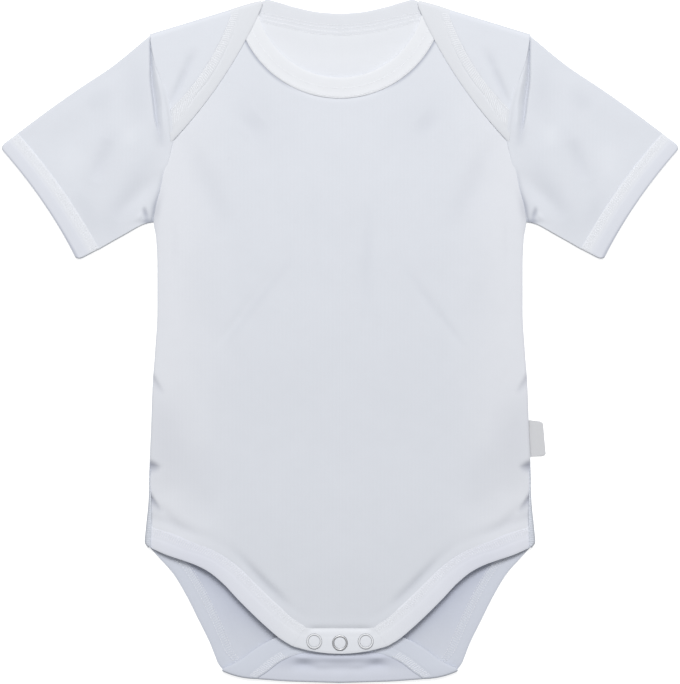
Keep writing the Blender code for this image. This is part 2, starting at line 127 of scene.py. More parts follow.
FRONT_EDGE = (  # y, height of the front panel at its side
    (-128, 2.75), (-106, 2.7), (-60, 2.6), (-20, 2.3), (20, 1.95), (70, 1.9), (100, 2.1),
    (130, 2.3), (193, 2.6))
FRONT_MIDDLE = (  # y, height away from the side
    (-200, 3.2), (-128, 3.3), (-60, 3.0), (60, 3.0), (130, 2.7), (153, 2.35), (170, 2.25),
    (190, 2.35), (196, 2.35), (215, 2.0))
EDGE_ROLL = 7
TAB_CENTRE = Vector((0, -188, 0))
TAB_LIFT = ((0, 2.5), (30, 2.6), (45, 2.6), (65, 2.1), (90, 1.2), (120, 0.3), (145, 0))
FLAP_RISE = ((145, 1.25), (170, 1.15), (190, 1.0), (205, 0.95))   # y, height over the front
FLAP_PRESSED = 1.2
CROTCH_LOW = 2.15
CROTCH_RISE = 1.15
CROTCH_SPAN = (-188, -22)    # in y, over which it rises to its fold

CUFF_START = (Vector((151.5, 58.6, 0)), Vector((202.4, 130.8, 0)))
HEM = (Vector((164.7, 51.9, 0)), Vector((213.9, 122.2, 0)))
HEM_BOW = -2.6
ARMHOLE_TOP = (  # station up the armhole, height of the sleeve's upper layer
    (0, 1.9), (0.2, 2.2), (0.36, 2.45), (0.43, 2.8), (0.5, 3.4), (0.6, 4.0), (1, 4.2))
HEM_TOP = ((0, 2.7), (0.5, 3.3), (1, 3.1))
HEAD_RUN = 0.35
HEAD_FOLD = (  # y, x of the trough beside the armhole, depth, width to the seam's side of it
    (120, 112.4, 0, 3.6), (131, 114.0, 0.5, 3.8), (137, 115.4, 1.9, 4.2),
    (142, 116.3, 3.0, 4.6), (151, 117.3, 3.4, 5.4), (157, 118.1, 3.4, 5.2),
    (166, 119.0, 3.2, 4.2), (177.7, 119.1, 2.8, 2.2), (186, 119.3, 2.0, 1.4),
    (193, 119.4, 1.2, 1.0))
HEAD_OUTER = 1.3     # width to the sleeve's side, which is steep
HEAD_HOLLOW = 0.3    # how much its slopes sag
HEAD_END = 0.05      # it fades out this near to the shoulder, as a share of the armhole
HEAD_PAINTED_SHADE = 0.055    # painted shade darkens the cloth this much for each mm down the fold
SEAM_RIDGE = (  # station, rise of the sleeve beside the armhole's seam
    (0, -1.1), (0.12, -1.0), (0.24, -0.5), (0.36, 0.2), (0.6, 0.5), (0.7, 0.3), (0.8, -0.35),
    (1, -0.5))
SEAM_PAINTED_SHADE = 0.14     # and painted shade darkens the cloth this much for each mm down
SEAM_RIDGE_AT = 0.5  # distance of that rise from the seam
SEAM_RIDGE_RUN = 1.3

SNAPS = ((-16.2, -187.9), (0, -188.9), (16.2, -187.9))     # x, y
LABEL = ((119.3, -49.2), (127.6, -50.2), (129.4, -71.1), (119.3, -71.7))   # its corners

# ---------------- what only the looks have

# Creases: start x, y, end x, y, depth (negative is a ridge), width there, width at the end.
# The ones at the sides are open, deepest at the edge; the others fade at both ends.
SIDE_CREASES = (
    (119.8, -76.5, 112.5, -79.0, 1.5, 1.8, 1.0), (118.5, -20.5, 110.5, -33.0, 0.7, 1.3, 0.9),
    (120.5, -95.5, 111.8, -107.5, 1.3, 1.2, 0.9))
CREASE_PAINTED_SHADE = 0.33   # and painted shade darkens the cloth this much for each mm down them
LEE = 2.8            # an open crease is this much wider on its lower side
FRONT_CREASES = (    # each on one side alone
    (-27, 57, -76, -6, 0.42, 2.6, 2.2), (38, 50, 82, -8, 0.42, 2.6, 2.2),
    (18, 88, 15.5, 10, 0.35, 3.4, 4.6))
PAIRED_CREASES = (   # on both sides
    (97, 132, 68, 66, 0.5, 6.0, 8.0), (104, 77, 104.5, 45, 0.2, 1.6, 1.6),
    (116, -100, 97, -121, 0.45, 2.0, 4.0), (50, 142, 60, 133, 0.4, 9.0, 9.0))
FRONT_PAINTED_SHADE = 0.09    # and painted shade darkens the cloth this much for each mm down them
FRONT_SHADES = (     # patches of painted shade: start x, y, end x, y, darkness, width there, width at the end
    (36, 154, 62, 128, 0.024, 17, 17), (116, -26, 104, -96, 0.075, 12, 16),
    (84, -62, 95, -112, 0.035, 13, 14), (92, 64, 84, 6, 0.02, 10, 10))
FLAP_CREASES = ((93, 181, 107.5, 147, 1.1, 2.4, 2.4), (91, 186, 97, 172, 0.4, 3.0, 3.0))
FLAP_OVER_BAND = ((145, 0.35), (175, 0.5), (200, 0.55))     # y, height
SLEEVE_CREASES = (
    (123.8, 85.5, 121.2, 76.5, 1.0, 1.3, 1.6), (128.5, 76.0, 124.5, 81.5, -0.6, 1.5, 1.2),
    (134, 73.0, 122, 76.4, 0.4, 1.2, 1.2), (146, 128, 154.5, 101, 0.8, 5.0, 4.0),
    (112, 108, 143, 78, 0.9, 6.0, 5.0), (150, 150, 185, 120, 0.3, 9.0, 9.0))
SLEEVE_SHADES = (    # patches of painted shade, and of painted light where the darkness is negative: start x, y, end x, y, darkness, width there, width at the end
    (141, 138, 159, 94, 0.05, 5.0, 6.0), (118, 122, 151, 64, 0.06, 6.0, 7.5),
    (160, 147, 143, 159, 0.04, 6.0, 6.0), (166, 97, 154, 68, 0.045, 6.0, 6.0),
    (128, 182, 126, 136, 0.04, 8.0, 8.0), (115, 142, 112.5, 122, 0.09, 2.6, 3.0),
    (132, 138, 133, 122, -0.035, 4.5, 4.5), (166, 128, 172, 100, -0.035, 9.0, 9.0))
CROTCH_FOLDS = (  # x, y, rise (negative is a hollow), width in x, width in y
    (0, -199.0, 0.9, 22, 2.0), (0, -205.5, -0.8, 30, 3.2), (0, -196.6, 0.7, 22, 2.6),
    (-22.5, -198.3, 0.9, 4.5, 1.6), (-22, -202.8, -1.2, 6, 2.4),
    (23.5, -198.3, 0.9, 4.5, 1.6), (23, -203.0, -1.2, 6, 2.4),
    (-12, -204.5, 0.35, 4, 1.8), (11, -203.5, 0.3, 4, 2.0))
TAB_DITCH = ((-21, 0), (-16, 0.75), (-2, 0.6), (6, 0.65), (16, 0.75), (21, 0))    # x, depth
DITCH_Y = -180.1
DITCH_RUN = 1.5
LEG_LIFT = ((62, 0), (82, 1.0), (98, 1.5), (110, 1.2), (121, 0.3))    # x, rise at the leg's edge
LEG_LIFT_RUN = 30
LEG_TROUGH = (  # x, depth of the soft trough that runs along the leg band's seam
    (0, 0), (30, 0.2), (39, 1.0), (47, 1.25), (55, 0.9), (64, 0.3), (75, 0.1), (86, 0.3),
    (98, 0.7), (116, 0.6))
TROUGH_OVER = 4.5    # its distance from the seam
TROUGH_WIDTH = 3.2
TROUGH_PAINTED_SHADE = 0.09   # and painted shade darkens the cloth this much for each mm down it
OVERLOCK_INSET = ((-128, 3.5), (-118, 3.0), (-108, 2.0), (-98, 0.9), (-88, 0))  # y, width seen
OVERLOCK_ENDS = (-80, -129.0)    # in y
OVERLOCK_TUCK = 0.5  # under the front's edge
OVERLOCK_ROUND = 4.5  # radius of the lower corner
OVERLOCK_LOW = 1.7
OVERLOCK_RISE = (0.55, 0.85)     # over the front, above and below where it comes free
OVERLOCK_FREE = (-112, -6)       # in y
OVERLOCK_WALL = 0.6
OVERLOCK_SEWN = slice(4, -1, 2)  # rows with a stitch across

# Heights beside edges and seams
DRAPE = ((55, 70, 0, 0.55), (16, 22, 7, 0.16))   # size in x, size in y, place in noise, height
DRAPE_RUN = 12       # the unevenness fades out this near to an edge
SLEEVE_SEED = 3      # and is another on the sleeves and on the flaps
FLAP_SEED = 5
FLAP_DRAPE = 0.3     # share of it on the flaps
FRONT_LOWEST = CLOTH + SKIN * 0.55     # middle of the front's wall where it lies on the back
SIDE_ROLL = 1.8      # how far in the front's edge starts to roll down to the back
ROLL_TOP = UNDERARM_Y + 6
LEG_SLOPE = 0.8      # turns a height over the leg seam into a distance from it
SEAM_RISE = 0.25     # of the front beside the leg bands
SEAM_RISE_WIDTH = 3.5
NECK_DITCH = 0.4     # depth of the front beside the neck's seam
NECK_DITCH_WIDTH = 1.2
FLAP_PRESS_RUN = 12  # the flap rises to its own height this far from the armhole
TAB_SINK = 0.03      # where the tab runs on into the leg bands, it lies just inside them
BAND_SINK = 0.05     # the middle of the front's bands lies this far under that of its cloth
CROTCH_SINK = 0.25   # the crotch's cloth lies this much lower than the middle of its bands
SEAM_CREST = 1.2     # the back is highest this far past its seams
SEAM_RISE_RUN = 6.0
NAPE_RUN = 8.0
NAPE_FADE = 16       # width in x over which that ends at the shoulder
FLOOR_SKIN = 0.45    # middle of the back's wall
FLOOR_BAND = 0.95    # middle of the bands' walls on the floor
FLOOR_SEAM = 1.28    # middle of the back's wall where it meets them

# Folds: how far they bulge past their lines
SHOULDER_REACH = 3.5
FLAP_START_REACH = 2.1   # the shoulder's, at the neck
CORNER_REACH = 1.0
CROTCH_REACH = 1.2
BEYOND_SHOULDER = Vector((200, 300, 0))    # points well outside, to tell which way is out
BEYOND_CROTCH = Vector((100, -300, 0))
BEYOND_HIP = Vector((300, -120, 0))
NAPE_OUT = ((0, 0.8), (15, 0.6), (28, 0.6), (40, 1.3), (45.5, 1.9), (48, 1.8), (49, 1.3))
FLAP_OVERRUN = 1.006  # the flap's tip runs under the sleeve's edge
FLAP_LEAST = 0.3     # and is never narrower than this
TAB_SHARE = 1.03     # the tabs run on into the leg bands by this much

# Bands
ACROSS = (0, 0.02, 0.05, 0.085, 0.12, 0.16, 0.21, 0.27, 0.33, 0.38, 0.42, 0.45, 0.48, 0.52, 0.58,
          0.66, 0.76, 0.85, 0.92, 0.97, 1)      # stations from the seam to the free edge
STITCHED = ACROSS.index(0.27)    # the one in the middle of the stitched strip
CREST = (0.14, 1.9, 1.3)         # a band's ridge: height, distance from the seam, width
GROOVE = (0.3, 0.45)             # its groove: distance past the inner needle row, width
# Forms: depth of the groove, puff of the plain strip, drop of the free edge
FRONT_NECK_FORM = (0.03, 0.05, 0.1)
FLAT_FORM = (0.05, 0.05, 0.0)
FLAP_FORM = (0.3, 0.1, 0.35)
CROTCH_FORM = (0.1, 0.1, 0.2)
LEG_FORM = (0.05, 0.1, 0.4)
RIM_TURNS = (0, 0.12, 0.25, 0.38, 0.5, 0.62, 0.75, 0.88, 1)    # round a rim, in half turns
RIM_CORNER = 0.4     # 1 makes a rim round and 0 square
RIM_RUN = 1.2        # a band's wall reaches its full thickness this far from its free edge

# Sleeves: s runs from armhole to band and t from underarm to shoulder
LAP_RUN = 0.06       # share of t over which the lap starts
SLEEVE_OUT = Vector((0.6, 0.8, 0))
SLEEVE_TOP_OUT = ((0, 1.2), (0.3, -0.2), (0.55, 1.0), (0.76, 1.5), (1, 1.4))   # s, bow
SLEEVE_IN = Vector((0.445, 0.895, 0))
SLEEVE_LOW_IN = ((0, 0), (0.1, 1.2), (0.22, 1.7), (0.5, 1.1), (0.75, 0.6), (1, 0))
HEM_OUT = Vector((1.0, -0.7, 0))
SLEEVE_EDGE = 0.1    # share of t over which the drape fades out at either edge
CUFF_EDGE = 0.04
TUBE_FLAT = 0.42     # the folds along a sleeve's edges reach out by this share of round ones
CUFF_ROUND = 4.0     # radius of the hem's corners
CUFF_ACROSS = tuple(sorted(ACROSS + (0.89, 0.945, 0.985, 0.993)))
SLEEVE_CROWD = 0.7   # how much the sleeve's rings crowd towards the armhole

# Counts of steps along each piece
FOLD_STEPS = 14
MEET_ROUNDS = 40     # of meet()'s search
NECK_STEPS = 60
FLAP_STEPS = 90
CROTCH_STEPS = 30
LEG_BACK_STEPS = 90
LEG_FRONT_STEPS = 100
TAB_STEPS = 60
FRONT_STEPS = 230
BACK_STEPS = 90
SLEEVE_STEPS = 110
SLEEVE_ROUND = 90
OVERLOCK_STEPS = 70
OVERLOCK_ACROSS = 10
ROUND_STEPS = 64
LABEL_STEPS = 60
LABEL_ACROSS = 16
FRONT_COLUMN_STEP = 0.014
BACK_COLUMN_STEP = 0.025
EDGE_COLUMNS = (0.94, 0.95, 0.958, 0.964, 0.97, 0.976, HIP_COLUMN, 0.9895, 0.993, 0.9965)

# Cover stitch: its needle rows from the seam, its pitch, and the slant of its bars
OUT, IN = 1, -1      # faces of a band, as face_reader() turns its normals
ROW_NEAR = 1.2
ROW_FAR = 6.3
PITCH = 1.45
NEEDLE_PITCH = 1.9
NEEDLE_DIP = ((0, -0.4), (0.26, -0.3), (0.38, 0.02), (0.64, 0.1), (0.9, 0.02))   # share, lift
BAR_LIFT = ((0, -0.15), (0.2, -0.04), (0.5, 0), (0.8, -0.04), (1, -0.15))        # share, lift
BAR_SHORT = 0.5      # the bars end this far before the inner row
SLANT = 0.9
READ_SPAN = 0.6      # a band's slope is read over this far to either side
TIP_FAR = 12.3       # the inner row ends this far from the seam at the flap's tip
TIP_SPAN = (0.72, 0.3)           # share of the flap over which it gets there
TIP_STITCH_RUN = 34  # and the stitches' run
TIP_CLEAR = 1.2      # the stitches end this far before the tip
THREAD = 0.16        # radius
NECK_THREAD = 0.13
FLAP_THREAD = 0.17
LEG_THREAD = 0.14
CROTCH_THREAD = 0.18
INNER_THREAD = 0.1
OVERLOCK_THREAD = 0.2
NEEDLES = (ROW_NEAR, ROW_FAR)
NECK_ROWS = (0.9, 2.9, 5.2, 7.2)     # the back neck shows the needle rows of its inside
INNER_ROWS = (0.6, 5.0)      # the back's leg shows the inside of its band, with bars there too
TAB_CLEAR = 11       # the crotch's stitches end this far under the front tab
TAB_INSET = 0.6      # and a tab's own rows this far inside its ends
CORNER_CLEAR = 1.4   # the back's stitches end this far before the crotch's fold
CROTCH_ROW = -CROTCH_STEPS - 1       # the leg band's row where its crotch flap starts
BACK_ROW = LEG_FRONT_STEPS + FOLD_STEPS    # and the one where it reaches the back, at the hip

# Snap rings and label
RING = ((3.55, -1.0), (3.6, 0.12), (3.75, 0.2), (3.86, 0.3), (4.0, 0.38), (4.5, 0.38),
        (4.64, 0.3), (4.75, 0.2), (4.9, 0.12), (4.95, -1.0))   # radius, height over the tab
RING_EDGES = (0, 1, 7, 8, 9)     # spans of the profile with the dark finish: painted shade round the ring's edges
METAL_RING = 2       # number of the ring that is bare all over
RING_SHARP = 50      # degrees
LABEL_WALL = 0.7
LABEL_ROUND = 1.6    # radius of its outer corners
LABEL_Z = 0.5
LABEL_PUFF = 0.25    # its fold stands up this much
LABEL_PRESSED = 0.4  # share of that which is pressed down at its top

# Surfaces
NAP = {"Roughness": 0.92, "Specular IOR Level": 0.25, "Sheen Weight": 0.12,
       "Sheen Roughness": 0.6}
RIB_SHARE = 0.6      # of the knit's relief; its loops have the rest
LOOP_LEAN = 1.2
FUZZ_SCALE = 2600
BLOTCH_SCALE = 120
NOISE_DETAIL = 3.0
FUZZ_HEIGHT = 1.2    # as shares of the relief
BLOTCH_HEIGHT = 3.0
MOTTLE = 0.03        # how far fuzz and blotches change the colour
STITCH_SHADE = 0.006
GRAIN_DETAIL = 4.0
SPECK = 0.15         # how far the grain changes the roughness
SPECK_MEAN = 0.07

# Tones: shares of the cloth's colour, most of them painted light and painted shade, and how much
# painted shade darkens it in places
PAINTED_SHADE_BLUE = (1.0, 0.97, 0.86)    # red, green and blue that painted shade takes away
# painted light along the front's sides, where the cloth bulges
SIDE_LIGHT = (1.05, 1.04, 1.03)
SIDE_SPAN = (60, 50)             # in x, as (start, run)
NECK_LIGHT = (1.08, 1.07, 1.05)   # painted light on the back's single layer, seen through the neck
NECK_SPAN = (150, 30)            # in y
NECK_BAND_TONE = (1.015, 1.01, 0.995)
NAPE_TONE = (0.93, 0.93, 0.93)
FLAP_TONE = (0.93, 0.93, 0.925)
FLAP_Z = 2           # what lies over this height at the neck belongs to the flaps
# painted shade on the back inside the leg openings, under the front, lighter further down
LEG_SHADE = (0.87, 0.885, 0.945)
LOW_LEG_SHADE = (0.92, 0.93, 0.965)
LOW_LEG_SPAN = (-165, -28)
# painted shade on the crotch's flap under the front's tab, lighter further down
CROTCH_SHADE = (0.87, 0.88, 0.94)
LOW_CROTCH_SHADE = (0.94, 0.945, 0.985)
LOW_CROTCH_SPAN = (-200, -8)
CROTCH_Z = 1.7       # what lies over this height below the hips belongs to the crotch's flap
UNDER_BAND_SHADE = (0.86, 0.88, 0.93)  # painted shade on the leg bands where they lie under the front
UNDER_CLOTH_SPAN = (-118, -14)   # the front hides the back above this
UNDER_BAND_SPAN = (-118, -10)
CUFF_TONE = (0.94, 0.945, 0.97)
CUFF_CLEAR_SPAN = (6, 4)         # from the hem
LOW_TRIM_TONE = (1.04, 1.04, 1.06)
# painted shade on the front's leg band near the hips, where it rolls away from the light
HIP_TRIM_SHADE = (0.95, 0.95, 0.97)
HIP_X, HIP_WIDTH = 90, 24
TAB_TONE = (1.08, 1.08, 1.08)
TAB_TONE_SPAN = (TAB_HALF, 34)   # in x
TAB_BAND_Z = 4.3     # the front's leg band lies over this height at the tab
HIP_BAND_Z = 2.2     # and over this one further out
BAND_Z_SPAN = (30, 30)           # in x
TAB_EDGE_X = 30.5    # where the tab ends, and its lower edge
TAB_EDGE_Y = -197
BAND_EDGE_SLACK = 2  # the front's leg bands are looked for this far past their edge
LABEL_TONE = (0.9, 0.895, 0.9)
NECK_PAINTED_SHADE = 0.36     # painted shade on the front beside the neck's seam
NECK_SHADE = (0.4, 1.1)          # its distance from the seam, width
NECK_SHADE_SPAN = (20, 25)       # in x
FLAP_PAINTED_SHADE = 0.07     # painted shade on the flaps, for each mm down their creases
UNDER_PAINTED_SHADOW = 0.13    # painted shadow on the back under the edge of the front's leg bands
UNDER_WIDTH = 7
RUCK_PAINTED_SHADE = 0.08     # painted shade on the crotch where it is rucked
RUCK = (22.5, -202.5, 7, 3)      # x, y, width in x, width in y
EDGE_Z = 2.6         # the sleeve's lower edge turns under below this height, out from EDGE_X
EDGE_X = 124
# painted light on the sleeve's lower edge, where it turns under away from the light
EDGE_LIGHT = (1.18, 1.16, 1.13)
HEM_PAINTED_SHADE = 0.22      # painted shade along a cuff's hem, where it folds under
HEM_WIDTH = 0.9
UNDERARM_PAINTED_SHADE = 0.16             # painted shade on the cloth on both sides of the armhole's lowest stretch
UNDERARM_SHADE = (84, 9)         # y, width in y
UNDERARM_AWAY = 1    # distance from the seam
FRONT_UNDERARM = 2.4             # width on the front, and on the sleeve
SLEEVE_UNDERARM = 2.6
SEAM_SHADE_AT = 0.8  # distance from the seam of the painted shade that SEAM_PAINTED_SHADE gives
SEAM_SHADE_END = 0.5             # and its upper end, as a station up the armhole
NOTCH_PAINTED_SHADE = 0.4     # painted shade where the sleeve's edge meets the side
NOTCH = (121.5, UNDERARM_Y + 0.6, 3.5, 1.5)      # x, y, width in x, width in y


def slope(rows, i, column):
    """Slope of a table's curve at row i that adds no bumps between rows."""
    spans = [(rows[k + 1][column] - rows[k][column]) / (rows[k + 1][0] - rows[k][0])
             for k in (i - 1, i) if 0 <= k < len(rows) - 1]
    if len(spans) == 1:
        return spans[0]
    before, after = spans
    return 0.0 if before * after <= 0 else 2 * before * after / (before + after)


def smooth(rows, at, column=1):
    """Read a table on a smooth curve through its rows, held level past its ends."""
    keys = [row[0] for row in rows]
    at = min(max(at, keys[0]), keys[-1])
    i = min(max(bisect.bisect_right(keys, at) - 1, 0), len(rows) - 2)
    step = keys[i + 1] - keys[i]
    t = (at - keys[i]) / step
    low, high = rows[i][column], rows[i + 1][column]
    start, end = slope(rows, i, column) * step, slope(rows, i + 1, column) * step
    return ((2 * t**3 - 3 * t**2 + 1) * low + (t**3 - 2 * t**2 + t) * start
            + (3 * t**2 - 2 * t**3) * high + (t**3 - t**2) * end)


def ease(t):
    """Go smoothly from 0 to 1."""
    t = min(max(t, 0), 1)
    return t * t * (3 - 2 * t)


def ramp(at, span):
    """Go smoothly from 0 to 1 over a span of (start, run); a negative run goes down."""
    start, run = span
    return ease((at - start) / run)


def blend(a, b, t):
    return a + (b - a) * t


def bump(x, width):
    return math.exp(-(x / width)**2)


def steps(low, high, count):
    return [blend(low, high, i / count) for i in range(count + 1)]


def rounded(away, radius):
    """How far a rounded corner draws an edge in, at a distance from the edge's end."""
    inside = max(1 - away / radius, 0)
    return radius * (1 - math.sqrt(1 - inside**2))


def half_width(y):
    return smooth(SIDE, y)


def crease(x, y, row, is_open=False):
    """Depth at a point of a crease between two points; an open one is deepest at its start."""
    x0, y0, x1, y1, depth, width, end_width = row
    run_x, run_y = x1 - x0, y1 - y0
    t = ((x - x0) * run_x + (y - y0) * run_y) / (run_x**2 + run_y**2)
    t = min(max(t, 0), 1)
    away = math.hypot(x - x0 - run_x * t, y - y0 - run_y * t)
    width = blend(width, end_width, t)
    if is_open and (x - x0) * run_y - (y - y0) * run_x < 0:
        width *= LEE
    if away > 3 * width:
        return 0.0
    taper = math.cos(math.pi / 2 * t) if is_open else math.sin(math.pi * t)
    return depth * taper * bump(away, width)


def creases(x, y, rows, is_open=False):
    return sum(crease(x, y, row, is_open) for row in rows)


def spot(x, y, at_x, at_y, wide, deep):
    return bump(x - at_x, wide) * bump(y - at_y, deep)


def drape(x, y, seed=0):
    """Slow unevenness of cloth that was smoothed out by hand."""
    return sum(height * noise.noise(Vector((x / wide, y / deep, seed + place)))
               for wide, deep, place, height in DRAPE)


# ---------------- heights

def front_base(x, y):
    """Middle of the front's wall, and of all that is sewn to it in one layer."""
    edge, middle = smooth(FRONT_EDGE, y), smooth(FRONT_MIDDLE, y)
    inside = max(half_width(y) - abs(x), 0)
    lift = smooth(TAB_LIFT, (Vector((x, y, 0)) - TAB_CENTRE).length)
    over_leg = y - front_bottom(abs(x))
    lift += smooth(LEG_LIFT, abs(x)) * ease(1 - over_leg / LEG_LIFT_RUN)
    return blend(edge, middle, 1 - math.exp(-inside / EDGE_ROLL)) + lift


def front_band_height(x, y):
    return front_base(x, y) - BAND_SINK


def front_side(y):
    """Side edge of the front, which the overlocked seam leaves free at the hips."""
    return half_width(y) - smooth(OVERLOCK_INSET, y)


def front_height(x, y):
    """The front with its creases, rolled down at its sides and sunk beside its bands."""
    side = max(front_side(y) - abs(x), 0)
    over_leg = leg_distance(x, y)
    z = front_base(x, y) + drape(x, y) * ease(side / DRAPE_RUN) * ease(over_leg / DRAPE_RUN)
    z -= creases(abs(x), y, SIDE_CREASES, True)
    z -= front_creases(x, y)
    z -= leg_trough(x, y)
    z -= tab_ditch(x, y)
    z += SEAM_RISE * bump(over_leg, SEAM_RISE_WIDTH)
    if abs(x) < NECK_SEAM_R:
        z -= NECK_DITCH * bump(neck_distance(x, y), NECK_DITCH_WIDTH)
    if y < ROLL_TOP and side < SIDE_ROLL:
        rolled = math.sqrt(max(1 - (1 - side / SIDE_ROLL)**2, 0))
        z = blend(FRONT_LOWEST, z, rolled)
    return max(z, FRONT_LOWEST)


def front_creases(x, y):
    return creases(x, y, FRONT_CREASES) + creases(abs(x), y, PAIRED_CREASES)


def leg_distance(x, y):
    """Distance of a point of the front from the leg band's seam."""
    return (y - front_bottom(abs(x))) * LEG_SLOPE


def leg_trough(x, y):
    return smooth(LEG_TROUGH, abs(x)) * bump(leg_distance(x, y) - TROUGH_OVER, TROUGH_WIDTH)


def neck_distance(x, y):
    """Distance of a point of the front from the neck band's seam."""
    return (Vector((x, y, 0)) - NECK_CENTRE).length - NECK_SEAM_R


def tab_ditch(x, y):
    """Depth of the gathered hollow along the front tab's seam."""
    return smooth(TAB_DITCH, x) * bump(y - DITCH_Y, DITCH_RUN)


def tab_height(x, y):
    return front_band_height(x, y) - tab_ditch(x, y) - TAB_SINK


def flap_height(x, y):
    """Middle of the flap's wall, pressed to the front where both meet the armhole."""
    inside = (half_width(y) - abs(x)) / FLAP_PRESS_RUN
    return front_base(x, y) + blend(FLAP_PRESSED, smooth(FLAP_RISE, y), ease(inside))


def crotch_height(x, y):
    return CROTCH_LOW + CROTCH_RISE * ramp(y, CROTCH_SPAN)


def crotch_gathered(x, y):
    """The crotch's cloth, rucked where it passes behind the front's tab."""
    folds = sum(rise * spot(x, y, at_x, at_y, wide, deep)
                for at_x, at_y, rise, wide, deep in CROTCH_FOLDS)
    return crotch_height(x, y) - CROTCH_SINK + folds


def floor_cloth(x, y):
    """The back lies on the floor, and comes up to the middle of its bands beside them."""
    over, under = back_top(abs(x)) - y, y - back_bottom(abs(x))
    at_neck = ease((BACK_NECK[-1][0] - abs(x)) / NAPE_FADE + 0.5)
    beside_neck = bump(over + SEAM_CREST, NAPE_RUN) * at_neck
    near_band = max(beside_neck, bump(under + SEAM_CREST, SEAM_RISE_RUN))
    return FLOOR_SKIN + (FLOOR_SEAM - FLOOR_SKIN) * near_band


def floor_band(x, y):
    return FLOOR_BAND


def lifted(point, height):
    return Vector((point.x, point.y, height(point.x, point.y)))


# ---------------- edges of the panels

def front_bottom(x):
    return smooth(FRONT_LEG, x)


def front_edge_y(x):
    """Free edge of the front's leg band, as y at x."""
    return smooth([row[2:] for row in FRONT_LEG], x) if x > TAB_EDGE_X else TAB_EDGE_Y


def shoulder_y(x):
    run = (x - SHOULDER_START.x) / (SHOULDER_END.x - SHOULDER_START.x)
    return blend(SHOULDER_START.y, SHOULDER_END.y, run)


def front_top(x):
    shoulder = shoulder_y(x) - SHOULDER_TUCK
    if x >= NECK_SEAM_R:
        return shoulder
    return min(NECK_CENTRE.y - math.sqrt(NECK_SEAM_R**2 - x**2), shoulder)


def back_bottom(x):
    return smooth(CROTCH_FOLD if x < CROTCH_FOLD[-1][0] else BACK_LEG, x)


def back_top(x):
    return smooth(BACK_NECK, x) if x < BACK_NECK[-1][0] else shoulder_y(x)


def meet(column, edge):
    """Point where a column, a fixed share of the half width, meets an edge."""
    y = edge(column * half_width(0))
    for _ in range(MEET_ROUNDS):
        y = edge(column * half_width(y))
    return Vector((column * half_width(y), y, 0))


def panel(columns, shares, bottom, top, height, side):
    """Rows of a panel's half, from its lower edge to its upper one."""
    ends = []
    for column in columns:
        low, high = meet(column, bottom), meet(column, top)
        at_crotch = bottom is back_bottom and low.x <= CROTCH_FOLD[-1][0]
        at_shoulder = high.x > NECK_SEAM_R
        neck_tuck = BAND_TUCK if top is back_top else PANEL_TUCK
        ends.append((low.y - (0 if at_crotch else PANEL_TUCK),
                     high.y + (0 if at_shoulder else neck_tuck)))
    rows = []
    for share in shares:
        row = []
        for column, (low, high) in zip(columns, ends):
            y = blend(low, high, share)
            row.append(lifted(Vector((column * side(y), y, 0)), height))
        rows.append(row)
    return rows


def bowed(start, end, bow, t):
    """Point on a shallow arc; a positive bow swings it to the right of its direction."""
    along = (end - start).normalized()
    aside = Vector((along.y, -along.x, 0))
    return start.lerp(end, t) + aside * (4 * bow * t * (1 - t))


def fold(line, outward, tops, reaches):
    """Rows round a half turn, from a line of points up to the heights above it."""
    rows = []
    for step in range(FOLD_STEPS + 1):
        angle = math.pi * step / FOLD_STEPS
        row = []
        for point, top, out in zip(line, tops, reaches):
            radius = (top - point.z) / 2
            row.append(point + outward * (math.sin(angle) * out)
                       + UP * ((1 - math.cos(angle)) * radius))
        rows.append(row)
    return rows


def table_rung(table, seam):
    return seam, Vector((smooth(table, seam.x, 2), smooth(table, seam.x, 3), 0))


def square_out(rung, outside):
    """Direction square to a fold that lies along a rung, to the side of a point outside."""
    along = (rung[1] - rung[0]).normalized()
    side = Vector((along.y, -along.x, 0))
    return side if side.dot(outside - rung[0]) > 0 else -side


def plan(point):
    return Vector((point.x, point.y, 0))


def mirror_x(vector):
    return Vector((-vector.x, vector.y, vector.z))


def flipped(grid):
    return [[mirror_x(point) for point in row] for row in grid]


SIDES = (("left", lambda grid: grid), ("right", flipped))


def evenly(reach, line):
    return [reach] * len(line)


def round_reaches(line, tops):
    """Reaches that make a fold's section round."""
    return [(top - point.z) / 2 for point, top in zip(line, tops)]


SHOULDER_OUT = square_out((SHOULDER_START, SHOULDER_END), BEYOND_SHOULDER)


# ---------------- bands

def band_profile(away, width, far, form):
    """Rise of a band's wall at a distance from its seam, with its inner needle row far off."""
    groove, puff, drop = form
    crest_height, crest_at, crest_width = CREST
    groove_at, groove_width = GROOVE
    crest = crest_height * bump(away - crest_at, crest_width)
    sunk = groove * bump(away - far - groove_at, groove_width)
    plain_share = min(max((away - far) / (width - far), 0), 1)
    return crest - sunk + puff * math.sin(math.pi * plain_share) - drop * ease(plain_share)


def band_rows(rungs, height, form, far=None):
    """Rows across a band, one for each rung of (seam point, free point)."""
    rows = []
    rim = BAND_SKIN / 2
    for i, (seam, free) in enumerate(rungs):
        width = (free - seam).length
        row = []
        for s in ACROSS:
            away = blend(rim, width - rim, s)
            rise = band_profile(away, width, far[i] if far else ROW_FAR, form)
            row.append(lifted(seam.lerp(free, away / width), height) + UP * rise)
        rows.append(row)
    return rows


def neck_front_rows():
    rungs = []
    for column in steps(0, NECK_COLUMN, NECK_STEPS):
        seam = meet(column, front_top)
        rungs.append((seam, NECK_CENTRE + (seam - NECK_CENTRE) * (NECK_FREE_R / NECK_SEAM_R)))
    return band_rows(rungs, front_band_height, FRONT_NECK_FORM)


